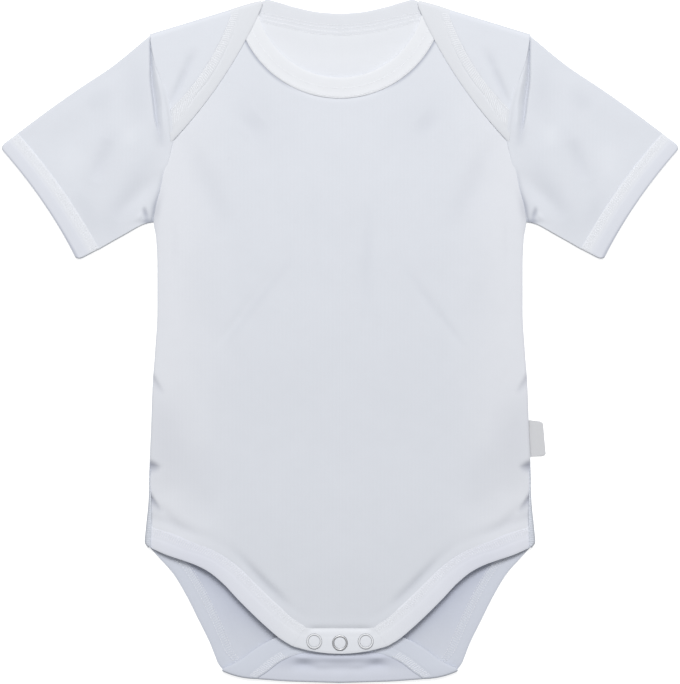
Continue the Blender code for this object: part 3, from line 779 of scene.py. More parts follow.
def neck_back_rows():
    """Rows of half the back neck's band, over the shoulder and down the flap to its tip."""
    seams = [meet(column, back_top) for column in steps(0, SHOULDER_COLUMN, NECK_STEPS)]
    low = [table_rung(BACK_NECK, seam) for seam in seams]
    low = [(seam, free + Vector((0, smooth(NAPE_OUT, free.x), 0))) for seam, free in low]
    low[-1] = (seams[-1], SHOULDER_START + Vector((0, NAPE_OUT[-1][1], 0)))
    high, far = [], []
    for t in steps(0, FLAP_OVERRUN, FLAP_STEPS):
        high.append((bowed(seams[-1], FLAP_SEAM_END, FLAP_SEAM_BOW, t),
                     bowed(SHOULDER_START, FLAP_FREE_END, FLAP_FREE_BOW, t)))
        far.append(blend(ROW_FAR, TIP_FAR, ramp(t, TIP_SPAN)))
    low_rows = band_rows(low, floor_band, FLAT_FORM)
    high_rows = band_rows(high, flap_height, FLAP_FORM, far)
    reaches = [blend(SHOULDER_REACH, FLAP_START_REACH, s * s) - BAND_SKIN / 2 for s in ACROSS]
    over = fold(low_rows[-1], SHOULDER_OUT, [p.z for p in high_rows[0]], reaches)
    return low_rows + over[1:] + high_rows[1:]


def leg_rows():
    """Rows of one leg band: front tab's end, hip, back leg, crotch fold, back tab's end."""
    flap = [[smooth(CROTCH_FLAP, t, column) for column in range(1, 5)]
            for t in steps(0, CROTCH_FLAP[-1][0], CROTCH_STEPS)]
    crotch = [(Vector((*row[0:2], 0)), Vector((*row[2:4], 0))) for row in flap]
    back = [table_rung(BACK_LEG, meet(column, back_bottom))
            for column in steps(CROTCH_COLUMN, HIP_COLUMN, LEG_BACK_STEPS)]
    front = [table_rung(FRONT_LEG, meet(column, front_bottom))
             for column in steps(TAB_COLUMN, HIP_COLUMN, LEG_FRONT_STEPS)]
    back[0], front[-1] = crotch[0], back[-1]
    front[0], crotch[-1] = tab_rung(FRONT_TAB, 1), tab_rung(BACK_TAB, 1)
    crotch_rows = band_rows(crotch, crotch_height, CROTCH_FORM)
    back_rows = band_rows(back, floor_band, FLAT_FORM)
    front_rows = band_rows(front, front_band_height, LEG_FORM)
    corner_out = square_out(crotch[0], BEYOND_CROTCH)
    for rows in (crotch_rows, back_rows):
        for point, s in zip(rows[0], ACROSS):
            point += corner_out * (4 * CORNER_BOW * s * (1 - s))
    hip_out = square_out(back[-1], BEYOND_HIP)
    under = fold(back_rows[0], corner_out, [p.z for p in crotch_rows[0]],
                 evenly(CORNER_REACH, ACROSS))
    hip_tops = [p.z for p in front_rows[-1]]
    round_hip = fold(back_rows[-1], hip_out, hip_tops, round_reaches(back_rows[-1], hip_tops))
    return front_rows + round_hip[-2::-1] + back_rows[-2::-1] + under[1:] + crotch_rows[1:]


def tab_rung(facts, share):
    """Rung of a snap tab; its ends, at shares of -1 and 1, are where the leg bands start."""
    seam_y, edge_y, corner = facts
    return (Vector((share * TAB_HALF, seam_y, 0)),
            Vector((share * corner[0], blend(edge_y, corner[1], share * share), 0)))


def tab_rows(facts, height, form):
    shares = steps(-TAB_SHARE, TAB_SHARE, TAB_STEPS)
    return band_rows([tab_rung(facts, share) for share in shares], height, form)


# ---------------- sleeves

def armhole(t):
    y = blend(UNDERARM_Y, SHOULDER_Y, t)
    return Vector((half_width(y) - SLEEVE_LAP * ease(t / LAP_RUN), y, 0))


def sleeve_plan(s, t):
    point = armhole(t).lerp(bowed(*CUFF_START, HEM_BOW, t), s)
    return (point + SLEEVE_OUT * (smooth(SLEEVE_TOP_OUT, s) * t**3)
            + SLEEVE_IN * (smooth(SLEEVE_LOW_IN, s) * (1 - t)**3))


def cuff_plan(s, t):
    point = bowed(*CUFF_START, HEM_BOW, t).lerp(bowed(*HEM, HEM_BOW, t), s)
    return (point + SLEEVE_OUT * (SLEEVE_TOP_OUT[-1][1] * t**3)
            + HEM_OUT * (s * (1 - t)**3))


def head_trough(x, y):
    """Depth of the fold beside the armhole: a slope from the seam, and a steep far side."""
    place, depth, inner = (smooth(HEAD_FOLD, y, column) for column in (1, 2, 3))
    wedge = max(1 - abs(x - place) / (inner if x < place else HEAD_OUTER), 0)
    return depth * wedge * (1 - HEAD_HOLLOW * (1 - wedge))


def sleeve_top(s, t):
    """Height of the sleeve's upper layer, with the fold beside the armhole."""
    base = blend(smooth(ARMHOLE_TOP, t), smooth(HEM_TOP, t), ease(s / HEAD_RUN))
    point = sleeve_plan(s, t)
    trough = head_trough(point.x, point.y) * ease((1 - t) / HEAD_END)
    worn = creases(point.x, point.y, SLEEVE_CREASES)
    inside = ease(min(t, 1 - t) / SLEEVE_EDGE)
    from_seam = (point - armhole(t)).length
    seam = smooth(SEAM_RIDGE, t) * bump(from_seam - SEAM_RIDGE_AT, SEAM_RIDGE_RUN)
    z = base + (drape(point.x, point.y, SLEEVE_SEED) - worn) * inside + seam - trough
    return max(z, CLOTH + SKIN / 2)


def cuff_top(s, t):
    width = (HEM[0] - CUFF_START[0]).length
    rise = band_profile(s * width, width, ROW_FAR, LEG_FORM)
    return smooth(HEM_TOP, t) + rise * ease(min(t, 1 - t) / CUFF_EDGE)


def cuff_corner(s):
    """How far the corners of the hem are rounded off, at a station of the cuff."""
    return rounded((1 - s) * (HEM[0] - CUFF_START[0]).length, CUFF_ROUND)


def tube(outline, top, stations, along_stations, wall, corner=lambda s: 0.0):
    """Rings of a flattened tube: flat underneath, a fold at each edge, heights from top()."""
    rings = []
    floor = wall / 2
    for s in stations:
        first, last = outline(s, 0), outline(s, 1)
        along = (last - first).normalized()
        length = (last - first).length
        reaches = [(top(s, end) - floor) / 2 * TUBE_FLAT for end in (0, 1)]
        insets = [(reach + floor + corner(s)) / length for reach in reaches]
        shares = [min(max(t, insets[0]), 1 - insets[1]) for t in along_stations]
        under = [outline(s, t) + UP * floor for t in shares]
        over = [outline(s, t) + UP * top(s, t) for t in shares]
        high = [row[0] for row in fold([under[-1]], along, [over[-1].z], reaches[1:])]
        low = [row[0] for row in fold([under[0]], -along, [over[0].z], reaches[:1])]
        rings.append(under[:-1] + high + over[-2:0:-1] + low[::-1])
    return rings


# ---------------- making objects

def dress(thing, nodes=()):
    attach(thing, "root")
    if nodes:
        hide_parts(*nodes)
    return thing


def place(name, mesh, finish, smooth_angle=180):
    data = bpy.data.meshes.new(name)
    mesh.to_mesh(data)
    mesh.free()
    data.materials.append(finish)
    data.shade_smooth()
    data.set_sharp_from_angle(angle=math.radians(smooth_angle))
    thing = bpy.data.objects.new(name, data)
    bpy.context.scene.collection.objects.link(thing)
    return thing


def plan_marks(rows):
    """Cloth coordinates that follow the grain of a panel laid flat."""
    return [[(point.x, point.y) for point in row] for row in rows]


def run_marks(rows):
    """Cloth coordinates of a band: run along its rows, distance from its seam."""
    marks = []
    for run, row in zip(runs_of(rows), rows):
        away = [0.0]
        for near, far in zip(row, row[1:]):
            away.append(away[-1] + (far - near).length)
        marks.append([(run, a) for a in away])
    return marks


def runs_of(rows):
    """Run along a band, measured in the middle of its stitched strip."""
    runs = [0.0]
    for near, far in zip(rows, rows[1:]):
        runs.append(runs[-1] + (far[STITCHED] - near[STITCHED]).length)
    return runs


def squared(part):
    """Bring a part of a circle nearer to that of a square with rounded corners."""
    return math.copysign(abs(part)**RIM_CORNER, part)


def skin(grids):
    """Closed wall round grids of (rows, marks, walls), with rounded rims."""
    base = bmesh.new()
    layer = base.loops.layers.uv.new("cloth")
    wall_layer = base.verts.layers.float.new("wall")
    for rows, marks, walls in grids:
        points = []
        for row, row_walls in zip(rows, walls):
            points.append([base.verts.new(point * MM) for point in row])
            for vert, wall in zip(points[-1], row_walls):
                vert[wall_layer] = wall * MM
        for i in range(len(rows) - 1):
            for j in range(len(rows[0]) - 1):
                corners = ((i, j), (i, j + 1), (i + 1, j + 1), (i + 1, j))
                face = base.faces.new([points[a][b] for a, b in corners])
                for loop, (a, b) in zip(face.loops, corners):
                    loop[layer].uv = [value * MM for value in marks[a][b]]
    bmesh.ops.remove_doubles(base, verts=base.verts, dist=WELD)
    bmesh.ops.recalc_face_normals(base, faces=base.faces)
    base.normal_update()
    made = bmesh.new()
    made_layer = made.loops.layers.uv.new("cloth")
    arcs = {}
    for vert in base.verts:
        half = vert[wall_layer] / 2
        outward = Vector()
        for edge in vert.link_edges:
            if edge.is_boundary:
                loop = edge.link_loops[0]
                along = loop.link_loop_next.vert.co - loop.vert.co
                outward += along.cross(loop.face.normal).normalized()
        turns = RIM_TURNS if outward.length > 0 else (0, 1)
        outward.normalize()
        arcs[vert] = [made.verts.new(vert.co + (vert.normal * squared(math.cos(math.pi * turn))
                                                + outward * squared(math.sin(math.pi * turn)))
                                     * half) for turn in turns]
    for face in base.faces:
        for end, loops in ((0, list(face.loops)), (-1, list(face.loops)[::-1])):
            cover = made.faces.new([arcs[loop.vert][end] for loop in loops])
            for new, loop in zip(cover.loops, loops):
                new[made_layer].uv = loop[layer].uv
    for edge in base.edges:
        if not edge.is_boundary:
            continue
        loop = edge.link_loops[0]
        ends = (loop.link_loop_next, loop)
        for k in range(len(RIM_TURNS) - 1):
            strip = made.faces.new([arcs[ends[0].vert][k], arcs[ends[1].vert][k],
                                    arcs[ends[1].vert][k + 1], arcs[ends[0].vert][k + 1]])
            for new, old in zip(strip.loops, (ends[0], ends[1], ends[1], ends[0])):
                new[made_layer].uv = old[layer].uv
    base.free()
    return made


def sheet_grid(rows, wall):
    """Grid for skin(): a panel of one thickness."""
    return rows, plan_marks(rows), [[wall] * len(row) for row in rows]


def band_grid(rows):
    """Grid for skin(): a band, thinner towards its free edge."""
    marks = run_marks(rows)
    walls = []
    for row in marks:
        width = row[-1][1]
        inside = [min((width - away) / RIM_RUN, 1) for _, away in row]
        walls.append([blend(BAND_RIM, BAND_SKIN, math.sqrt(1 - (1 - i)**2)) for i in inside])
    return rows, marks, walls


def shell(name, grids, finish, tone=None):
    """Piece of cloth, with its tone at each point, which mostly carries painted light and shade.
    """
    thing = place(name, skin(grids), finish)
    shades = thing.data.color_attributes.new("tone", "FLOAT_COLOR", "POINT")
    for vert, shade in zip(thing.data.vertices, shades.data):
        shade.color = (*(tone(vert.co / MM) if tone else WHITE), 1)
    return thing


def halves(grids):
    """Grids of the +X half with their mirror images."""
    return grids + [(flipped(rows), marks, walls) for rows, marks, walls in grids]


# ---------------- stitches

def face_reader(rows, wall, side):
    """Function that finds (point, normal) on one face of a band, by run and distance."""
    runs = runs_of(rows)

    def across(row, away):
        for near, far in zip(row, row[1:]):
            length = (far - near).length
            if away <= length:
                return near.lerp(far, away / length)
            away -= length
        return row[-1]

    def at(run, away, lift):
        i = min(max(bisect.bisect_right(runs, run) - 1, 0), len(rows) - 2)
        t = (run - runs[i]) / (runs[i + 1] - runs[i])
        away -= wall / 2
        near, far = across(rows[i], away), across(rows[i + 1], away)
        outward = across(rows[i], away + READ_SPAN) - across(rows[i], away - READ_SPAN)
        normal = outward.cross(far - near).normalized() * side
        return near.lerp(far, t) + normal * (wall / 2 + lift), normal

    return at, runs[-1]


def strand(mesh, path, radius, sides=6):
    """Closed tube of thread along a path of (point, normal of the cloth)."""
    rings = []
    for k, (point, normal) in enumerate(path):
        ahead = path[min(k + 1, len(path) - 1)][0] - path[max(k - 1, 0)][0]
        aside = ahead.cross(normal).normalized()
        up = aside.cross(ahead).normalized()
        rings.append([mesh.verts.new((point + (aside * math.cos(turn) + up * math.sin(turn))
                                      * radius) * MM)
                      for turn in steps(0, 2 * math.pi, sides)[:-1]])
    for near, far in zip(rings, rings[1:]):
        for k in range(sides):
            other = (k + 1) % sides
            mesh.faces.new((near[k], near[other], far[other], far[k]))
    mesh.faces.new(rings[0][::-1])
    mesh.faces.new(rings[-1])


def needle_row(at, start, end, away):
    """Running stitches that dip into the cloth once a pitch."""
    path = []
    for k in range(int((end - start) / NEEDLE_PITCH)):
        for part, lift in NEEDLE_DIP:
            run = start + (k + part) * NEEDLE_PITCH
            path.append(at(run, away(run), lift))
    return path


def cover_bars(at, start, end, near, far):
    """Looper thread: slanted bars between the needle rows, joined by turn at either end."""
    path = []
    for k in range(int((end - start - SLANT) / PITCH)):
        low = start + k * PITCH
        bar = [at(low + SLANT * part, blend(near(low), far(low) - BAR_SHORT, part), lift)
               for part, lift in BAR_LIFT]
        path += bar if k % 2 == 0 else bar[::-1]
    return path


def row_at(away):
    return lambda run: away


def sew(mesh, path, radius, both_sides):
    strand(mesh, path, radius)
    if both_sides:
        strand(mesh, [(mirror_x(point), mirror_x(normal)) for point, normal in path], radius)


def cover_stitch(mesh, rows, span, outside, both_sides=True, far=row_at(ROW_FAR), radius=THREAD,
                 inner_rows=NEEDLES):
    """Cover stitch over a span of a band's run: bars on its outside, needle rows inside."""
    at, length = face_reader(rows, BAND_SKIN, outside)
    start, end = span[0], min(span[1], length)
    sew(mesh, needle_row(at, start, end, row_at(ROW_NEAR)), radius, both_sides)
    sew(mesh, cover_bars(at, start, end, row_at(ROW_NEAR), far), radius, both_sides)
    needle_stitch(mesh, rows, span, inner_rows, -outside, both_sides)


def needle_stitch(mesh, rows, span, places, side, both_sides=True):
    """Plain rows of stitches on one face of a band, over a span of its run."""
    at, length = face_reader(rows, BAND_SKIN, side)
    for away in places:
        sew(mesh, needle_row(at, span[0], min(span[1], length), row_at(away)), THREAD, both_sides)


# ---------------- materials

def new_material(name):
    made = bpy.data.materials.new(name)
    made.use_nodes = True
    tree = made.node_tree
    return made, tree, tree.nodes["Principled BSDF"]


def math_node(tree, operation, *values):
    node = tree.nodes.new("ShaderNodeMath")
    node.operation = operation
    for socket, value in zip(node.inputs, values):
        if isinstance(value, (int, float)):
            socket.default_value = value
        else:
            tree.links.new(value, socket)
    return node.outputs[0]


def weighed(tree, start, *terms):
    """Sum of a start and of values times their weights."""
    for value, weight in terms:
        start = math_node(tree, "MULTIPLY_ADD", value, weight, start)
    return start


def noise_node(tree, scale, detail):
    node = tree.nodes.new("ShaderNodeTexNoise")
    node.inputs["Scale"].default_value = scale
    node.inputs["Detail"].default_value = detail
    where = tree.nodes.new("ShaderNodeTexCoord").outputs["Object"]
    tree.links.new(where, node.inputs["Vector"])
    return node.outputs["Fac"]


def add_relief(tree, shader, height, depth):
    node = tree.nodes.new("ShaderNodeBump")
    node.inputs["Distance"].default_value = depth * MM
    tree.links.new(height, node.inputs["Height"])
    tree.links.new(node.outputs[0], shader.inputs["Normal"])


def knit(name, colour, wale, course, relief):
    """Cotton knit: ribs one wale apart, crossed by courses, with fuzz and faint blotches."""
    made, tree, shader = new_material(name)
    for socket, value in NAP.items():
        shader.inputs[socket].default_value = value
    place_map = tree.nodes.new("ShaderNodeUVMap")
    place_map.uv_map = "cloth"
    split = tree.nodes.new("ShaderNodeSeparateXYZ")
    tree.links.new(place_map.outputs["UV"], split.inputs[0])
    across = math_node(tree, "MULTIPLY", split.outputs[0], 2 * math.pi / (wale * MM))
    along = math_node(tree, "MULTIPLY", split.outputs[1], 2 * math.pi / (course * MM))
    ribs = math_node(tree, "SINE", across)
    half_ribs = math_node(tree, "SINE", math_node(tree, "MULTIPLY", across, 0.5))
    loops = math_node(tree, "SINE", weighed(tree, along, (half_ribs, LOOP_LEAN)))
    stitch = weighed(tree, 0.0, (ribs, RIB_SHARE), (loops, 1 - RIB_SHARE))
    fuzz = noise_node(tree, FUZZ_SCALE, NOISE_DETAIL)
    blotch = noise_node(tree, BLOTCH_SCALE, NOISE_DETAIL)
    shade = weighed(tree, 1 - MOTTLE, (blotch, MOTTLE), (fuzz, MOTTLE), (stitch, STITCH_SHADE))
    # The tone attribute carries each piece's painted light and painted shade.
    tone = tree.nodes.new("ShaderNodeAttribute")
    tone.attribute_name = "tone"
    tint = tree.nodes.new("ShaderNodeVectorMath")
    tint.operation = "MULTIPLY"
    tint.inputs[0].default_value = colour
    tree.links.new(tone.outputs["Color"], tint.inputs[1])
    dye = tree.nodes.new("ShaderNodeVectorMath")
    dye.operation = "SCALE"
    tree.links.new(tint.outputs[0], dye.inputs[0])
    tree.links.new(shade, dye.inputs["Scale"])
    tree.links.new(dye.outputs[0], shader.inputs["Base Color"])
    height = weighed(tree, stitch, (fuzz, FUZZ_HEIGHT), (blotch, BLOTCH_HEIGHT))
    add_relief(tree, shader, height, relief)
    return made


def plain(name, colour, roughness, metallic=0.0, grain=1500, relief=0.01):
    """Smooth hard surface with a fine grain."""
    made, tree, shader = new_material(name)
    shader.inputs["Base Color"].default_value = (*colour, 1)
    shader.inputs["Metallic"].default_value = metallic
    speck = noise_node(tree, grain, GRAIN_DETAIL)
    rough = weighed(tree, roughness - SPECK_MEAN, (speck, SPECK))
    tree.links.new(rough, shader.inputs["Roughness"])
    add_relief(tree, shader, speck, relief)
    return made


BODY = knit("interlock", (0.735, 0.758, 0.812), 0.85, 0.7, 0.012)
TRIM = knit("binding", (0.795, 0.813, 0.858), 0.8, 0.65, 0.014)
# A darker copy of the knit for the overlocked seam at the hips: painted shade.
SHADED = knit("overlocked_edge_painted_shade", (0.67, 0.70, 0.77), 0.85, 0.7, 0.012)
TAPE = knit("label_tape", (0.75, 0.76, 0.78), 0.35, 0.35, 0.01)
COTTON_THREAD = plain("cotton_thread", (0.9, 0.91, 0.94), 0.7)
# A darker copy of the cotton thread for the overlocked seam: painted shade.
SHADED_THREAD = plain("thread_in_painted_shade", (0.8, 0.83, 0.89), 0.75)
PAINTED = plain("painted_ring", (0.84, 0.85, 0.88), 0.4)
# Dark finish on the rings' edges: painted shade where they meet the tab.
RING_EDGE_SHADE = plain("ring_edge_painted_shade", (0.12, 0.13, 0.15), 0.5)
NICKEL = plain("nickel", (0.68, 0.68, 0.70), 0.42, 1.0)


# ---------------- the cloth

def columns_to(marks, step):
    """Columns from 0 through every mark, no further apart than a step."""
    out = [0.0]
    for mark in sorted(marks):
        count = max(1, math.ceil((mark - out[-1]) / step))
        out += steps(out[-1], mark, count)[1:]
    return out


def between(tone, other, share):
    return [blend(a, b, share) for a, b in zip(tone, other)]


def mixed(tone, amount):
    """A tone let through by an amount from 0 to 1."""
    return between(WHITE, tone, amount)


def shaded(tone, dark):
    """A tone less some painted shade, which is a little blue, as the light in a fold is."""
    return [part - dark * share for part, share in zip(tone, PAINTED_SHADE_BLUE)]


def back_tone(point):
    """The back has painted light through the neck, painted shade in the flaps' creases, on the
    crotch and inside the legs, and painted shadow close under the front's bands.
    """
    x, y = abs(point.x), point.y
    if y > 0 and point.z > FLAP_Z:
        return shaded(WHITE, FLAP_PAINTED_SHADE * creases(x, y, FLAP_CREASES))
    if y > 0:
        return mixed(NECK_LIGHT, ramp(y, NECK_SPAN))
    if point.z > CROTCH_Z:
        tone = between(CROTCH_SHADE, LOW_CROTCH_SHADE, ramp(y, LOW_CROTCH_SPAN))
        return shaded(tone, RUCK_PAINTED_SHADE * spot(x, y, *RUCK))
    tone = between(LEG_SHADE, LOW_LEG_SHADE, ramp(y, LOW_LEG_SPAN))
    under = max((front_edge_y(x) - y) * LEG_SLOPE, 0)
    return shaded(mixed(tone, ramp(y, UNDER_CLOTH_SPAN)), UNDER_PAINTED_SHADOW * bump(under, UNDER_WIDTH))


def leg_tone(point):
    """The front's leg bands are lightest at the tab and have painted shade near the hips; the
    back's have painted shade below the hips, under the front.
    """
    x, y = abs(point.x), point.y
    front_from = blend(TAB_BAND_Z, HIP_BAND_Z, ramp(x, BAND_Z_SPAN))
    if point.z > front_from and y > front_edge_y(x) - BAND_EDGE_SLACK:
        low = between(TAB_TONE, LOW_TRIM_TONE, ramp(x, TAB_TONE_SPAN))
        hip = mixed(HIP_TRIM_SHADE, bump(x - HIP_X, HIP_WIDTH))
        return [a * b for a, b in zip(low, hip)]
    return mixed(UNDER_BAND_SHADE, ramp(y, UNDER_BAND_SPAN))


def at_underarm(from_seam, y, width):
    """How near a point is to the shade that runs up beside the seam from the underarm."""
    shade_y, shade_run = UNDERARM_SHADE
    return bump(from_seam - UNDERARM_AWAY, width) * bump(y - shade_y, shade_run)


def front_tone(point):
    """The front has painted light along its sides, and painted shade in its folds, along the leg
    trough, beside the neck's seam and by the underarms.
    """
    x, y = abs(point.x), point.y
    dark = UNDERARM_PAINTED_SHADE * at_underarm(half_width(y) - x, y, FRONT_UNDERARM)
    dark += CREASE_PAINTED_SHADE * creases(x, y, SIDE_CREASES, True)
    dark += FRONT_PAINTED_SHADE * front_creases(point.x, y)
    dark += creases(x, y, FRONT_SHADES)
    dark += TROUGH_PAINTED_SHADE * leg_trough(x, y)
    if y > NECK_SPAN[0]:
        shade_at, shade_width = NECK_SHADE
        beside_neck = bump(neck_distance(x, y) - shade_at, shade_width)
        dark += NECK_PAINTED_SHADE * beside_neck * ramp(x, NECK_SHADE_SPAN)
    return shaded(mixed(SIDE_LIGHT, ramp(x, SIDE_SPAN)), dark)


def sleeve_tone(point):
    """The sleeve has painted shade in its folds, beside the armhole and at the underarm, and
    painted light at its lower edge and in a few patches.
    """
    x, y = abs(point.x), point.y
    if point.z < CLOTH:
        return WHITE
    if point.z < EDGE_Z and y < UNDERARM_Y and x > EDGE_X:
        return EDGE_LIGHT
    from_seam = x - half_width(y)
    dark = HEAD_PAINTED_SHADE * head_trough(x, y)
    station = (y - UNDERARM_Y) / (SHOULDER_Y - UNDERARM_Y)
    if station < SEAM_SHADE_END:
        beside = bump(from_seam - SEAM_SHADE_AT, SEAM_RIDGE_RUN)
        dark += SEAM_PAINTED_SHADE * beside * max(-smooth(SEAM_RIDGE, station), 0)
    dark += CREASE_PAINTED_SHADE * crease(x, y, SLEEVE_CREASES[0])
    dark += UNDERARM_PAINTED_SHADE * at_underarm(from_seam, y, SLEEVE_UNDERARM)
    dark += NOTCH_PAINTED_SHADE * spot(x, y, *NOTCH)
    dark += creases(x, y, SLEEVE_SHADES)
    return shaded(WHITE, dark)


def cuff_tone(point):
    """A cuff is lightest along its stitches and darker towards its hem, with painted shade along
    the hem's fold.
    """
    if point.z < CLOTH:
        return CUFF_TONE
    here = Vector((abs(point.x), point.y, 0))
    along = HEM[1] - HEM[0]
    share = min(max((here - HEM[0]).dot(along) / along.length_squared, 0), 1)
    from_hem = (bowed(*HEM, HEM_BOW, share) - here).length
    clear = mixed(CUFF_TONE, 1 - ramp(from_hem, CUFF_CLEAR_SPAN))
    return shaded(clear, HEM_PAINTED_SHADE * bump(from_hem, HEM_WIDTH))


def neck_back_tone(point):
    return NAPE_TONE if point.z < FLAP_Z else FLAP_TONE


def front_cloth():
    columns = columns_to((TAB_COLUMN, NECK_COLUMN) + EDGE_COLUMNS, FRONT_COLUMN_STEP)
    rows = panel(columns, steps(0, 1, FRONT_STEPS), front_bottom, front_top, front_height,
                 front_side)
    thing = shell("front_cloth", halves([sheet_grid(rows, SKIN)]), BODY, front_tone)
    return dress(thing, ["front_panel"])


def flap_cloth_height(x, y):
    uneven = FLAP_DRAPE * drape(x, y, FLAP_SEED) - creases(abs(x), y, FLAP_CREASES)
    return flap_height(x, y) + smooth(FLAP_OVER_BAND, y) + uneven


def back_cloth():
    columns = columns_to((CROTCH_COLUMN, SHOULDER_COLUMN) + EDGE_COLUMNS, BACK_COLUMN_STEP)
    main = panel(columns, steps(0, 1, BACK_STEPS), back_bottom, back_top, floor_cloth,
                 half_width)
    line = main[-1][columns.index(SHOULDER_COLUMN):]
    over = fold(line, SHOULDER_OUT, [flap_cloth_height(p.x, p.y) for p in line],
                evenly(SHOULDER_REACH - SKIN / 2, line))
    seam_start, tip = line[0], line[-1]
    across = [(p.x - seam_start.x) / (tip.x - seam_start.x) for p in line]
    flap = []
    for t in steps(0, FLAP_OVERRUN, FLAP_STEPS):
        seam = bowed(plan(seam_start), FLAP_SEAM_END, FLAP_SEAM_BOW, t)
        y = blend(tip.y, FLAP_SEAM_END.y, t)
        edge = Vector((max(half_width(y), seam.x + FLAP_LEAST), y, 0))
        flap.append([lifted(seam.lerp(edge, share), flap_cloth_height) for share in across])
    flap[0] = over[-1]
    low = main[0][:columns.index(CROTCH_COLUMN) + 1]
    under = fold(low, -Vector((0, 1, 0)), [crotch_gathered(p.x, p.y) for p in low],
                 evenly(CROTCH_REACH, low))
    crotch = []
    for t in steps(0, CROTCH_FLAP[-1][0], 2 * CROTCH_STEPS):
        seam_x, seam_y, middle_y = (smooth(CROTCH_FLAP, t, column) for column in (1, 2, 5))
        crotch.append([lifted(Vector((seam_x * c, blend(middle_y, seam_y, c * c), 0)),
                              crotch_gathered) for c in (p.x / low[-1].x for p in low)])
    crotch[0] = under[-1]
    grids = [sheet_grid(rows, SKIN) for rows in (main, over, flap, under, crotch)]
    thing = shell("back_cloth", halves(grids), BODY, back_tone)
    return dress(thing, ["back_panel"])


def binding(name, grids, nodes, tone=None):
    thing = shell(name, [band_grid(rows) for rows in grids], TRIM, tone)
    return dress(thing, nodes)


def seam_threads(name, mesh):
    return dress(place(name, mesh, COTTON_THREAD))


def neck_bindings():
    front, back = neck_front_rows(), neck_back_rows()
    binding("neck_binding_front", [front, flipped(front)], ["neck_band_front"],
            lambda point: NECK_BAND_TONE)
    binding("neck_binding_back", [back, flipped(back)], ["neck_band_back"], neck_back_tone)
    mesh = bmesh.new()
    runs = runs_of(back)
    length, flap_start = runs[-1], runs[NECK_STEPS + FOLD_STEPS]
    cover_stitch(mesh, front, (PITCH / 2, length), OUT, radius=NECK_THREAD)
    for side in (IN, OUT):
        needle_stitch(mesh, back, (PITCH / 2, runs[NECK_STEPS]), NECK_ROWS, side)
    to_tip = (length - TIP_STITCH_RUN, TIP_STITCH_RUN)
    cover_stitch(mesh, back, (flap_start, length - TIP_CLEAR), OUT, radius=FLAP_THREAD,
                 far=lambda run: blend(ROW_FAR, TIP_FAR, ramp(run, to_tip)))
    seam_threads("neck_stitches", mesh)


def leg_bindings():
    rows = leg_rows()
    for side, turn in SIDES:
        binding("leg_binding_" + side, [turn(rows)], ["leg_band_" + side], leg_tone)
    front_tab = tab_rows(FRONT_TAB, tab_height, LEG_FORM)
    back_tab = tab_rows(BACK_TAB, crotch_height, CROTCH_FORM)
    binding("tab_front", [front_tab], ["front_tab"], lambda point: TAB_TONE)
    binding("tab_back", [back_tab], ["back_tab"], leg_tone)
    mesh = bmesh.new()
    runs = runs_of(rows)
    crotch_start = runs[CROTCH_ROW]
    back_start, back_end = runs[BACK_ROW], crotch_start - CORNER_CLEAR
    cover_stitch(mesh, rows, (0, back_start), OUT, radius=LEG_THREAD)
    cover_stitch(mesh, rows, (back_start, back_end), OUT, radius=LEG_THREAD,
                 inner_rows=INNER_ROWS)
    cover_stitch(mesh, rows, (crotch_start, runs[-1] - TAB_CLEAR), OUT, radius=CROTCH_THREAD)
    inner_at, _ = face_reader(rows, BAND_SKIN, IN)
    near, far = (row_at(away) for away in INNER_ROWS)
    sew(mesh, cover_bars(inner_at, back_start, back_end, near, far), INNER_THREAD, True)
    for tab in (front_tab, back_tab):
        span = (TAB_INSET, runs_of(tab)[-1] - TAB_INSET)
        needle_stitch(mesh, tab, span, NEEDLES, IN, False)
    seam_threads("leg_stitches", mesh)


def sleeves():
    across = steps(0, 1, SLEEVE_ROUND)
    stations = [blend(t, t * t, SLEEVE_CROWD) for t in steps(0, 1, SLEEVE_STEPS)]
    body = tube(sleeve_plan, sleeve_top, stations, across, CLOTH)
    rim = BAND_SKIN / 2 / (HEM[0] - CUFF_START[0]).length
    stations = [blend(rim, 1 - rim, s) for s in CUFF_ACROSS]
    cuff = tube(cuff_plan, cuff_top, stations, across, BAND, cuff_corner)
    cuff_rows = [list(row) for row in zip(*cuff)]
    cuff_rows.append(cuff_rows[0])
    mesh = bmesh.new()
    # The cuff's rows run the other way round, so its outside is the face called IN
    cover_stitch(mesh, cuff_rows, (0, runs_of(cuff_rows)[-1]), IN, radius=LEG_THREAD)
    seam_threads("sleeve_stitches", mesh)
    body = [ring + ring[:1] for ring in body]
    for side, turn in SIDES:
        thing = shell("sleeve_cloth_" + side, [sheet_grid(turn(body), SKIN)], BODY, sleeve_tone)
        dress(thing, ["sleeve_" + side])
        binding("cuff_binding_" + side, [turn(cuff_rows)], ["sleeve_band_" + side], cuff_tone)


def hip_overlocks():
    """Overlocked side seams that show past the front's edge at the hips."""
    rows = []
    for y in steps(*OVERLOCK_ENDS, OVERLOCK_STEPS):
        inner = front_side(y) - OVERLOCK_TUCK
        outer = half_width(y) - SKIN / 2 - rounded(y - OVERLOCK_ENDS[1], OVERLOCK_ROUND)
        high = front_base(inner, y) + blend(*OVERLOCK_RISE, ramp(y, OVERLOCK_FREE))
        row = []
        for share in steps(0, 1, OVERLOCK_ACROSS):
            fall = math.sqrt(1 - share**3)
            row.append(Vector((blend(inner, outer, share), y, blend(OVERLOCK_LOW, high, fall))))
        rows.append(row)
    for side, turn in SIDES:
        thing = shell("hip_overlock_" + side, [sheet_grid(turn(rows), OVERLOCK_WALL)], SHADED)
        dress(thing)
    mesh = bmesh.new()
    path = []
    for k, row in enumerate(rows[OVERLOCK_SEWN]):
        bar = [(point + UP * (OVERLOCK_WALL / 2), UP) for point in row[1::2]]
        path += bar if k % 2 == 0 else bar[::-1]
    sew(mesh, path, OVERLOCK_THREAD, True)
    dress(place("hip_stitches", mesh, SHADED_THREAD))


# ---------------- snaps and label

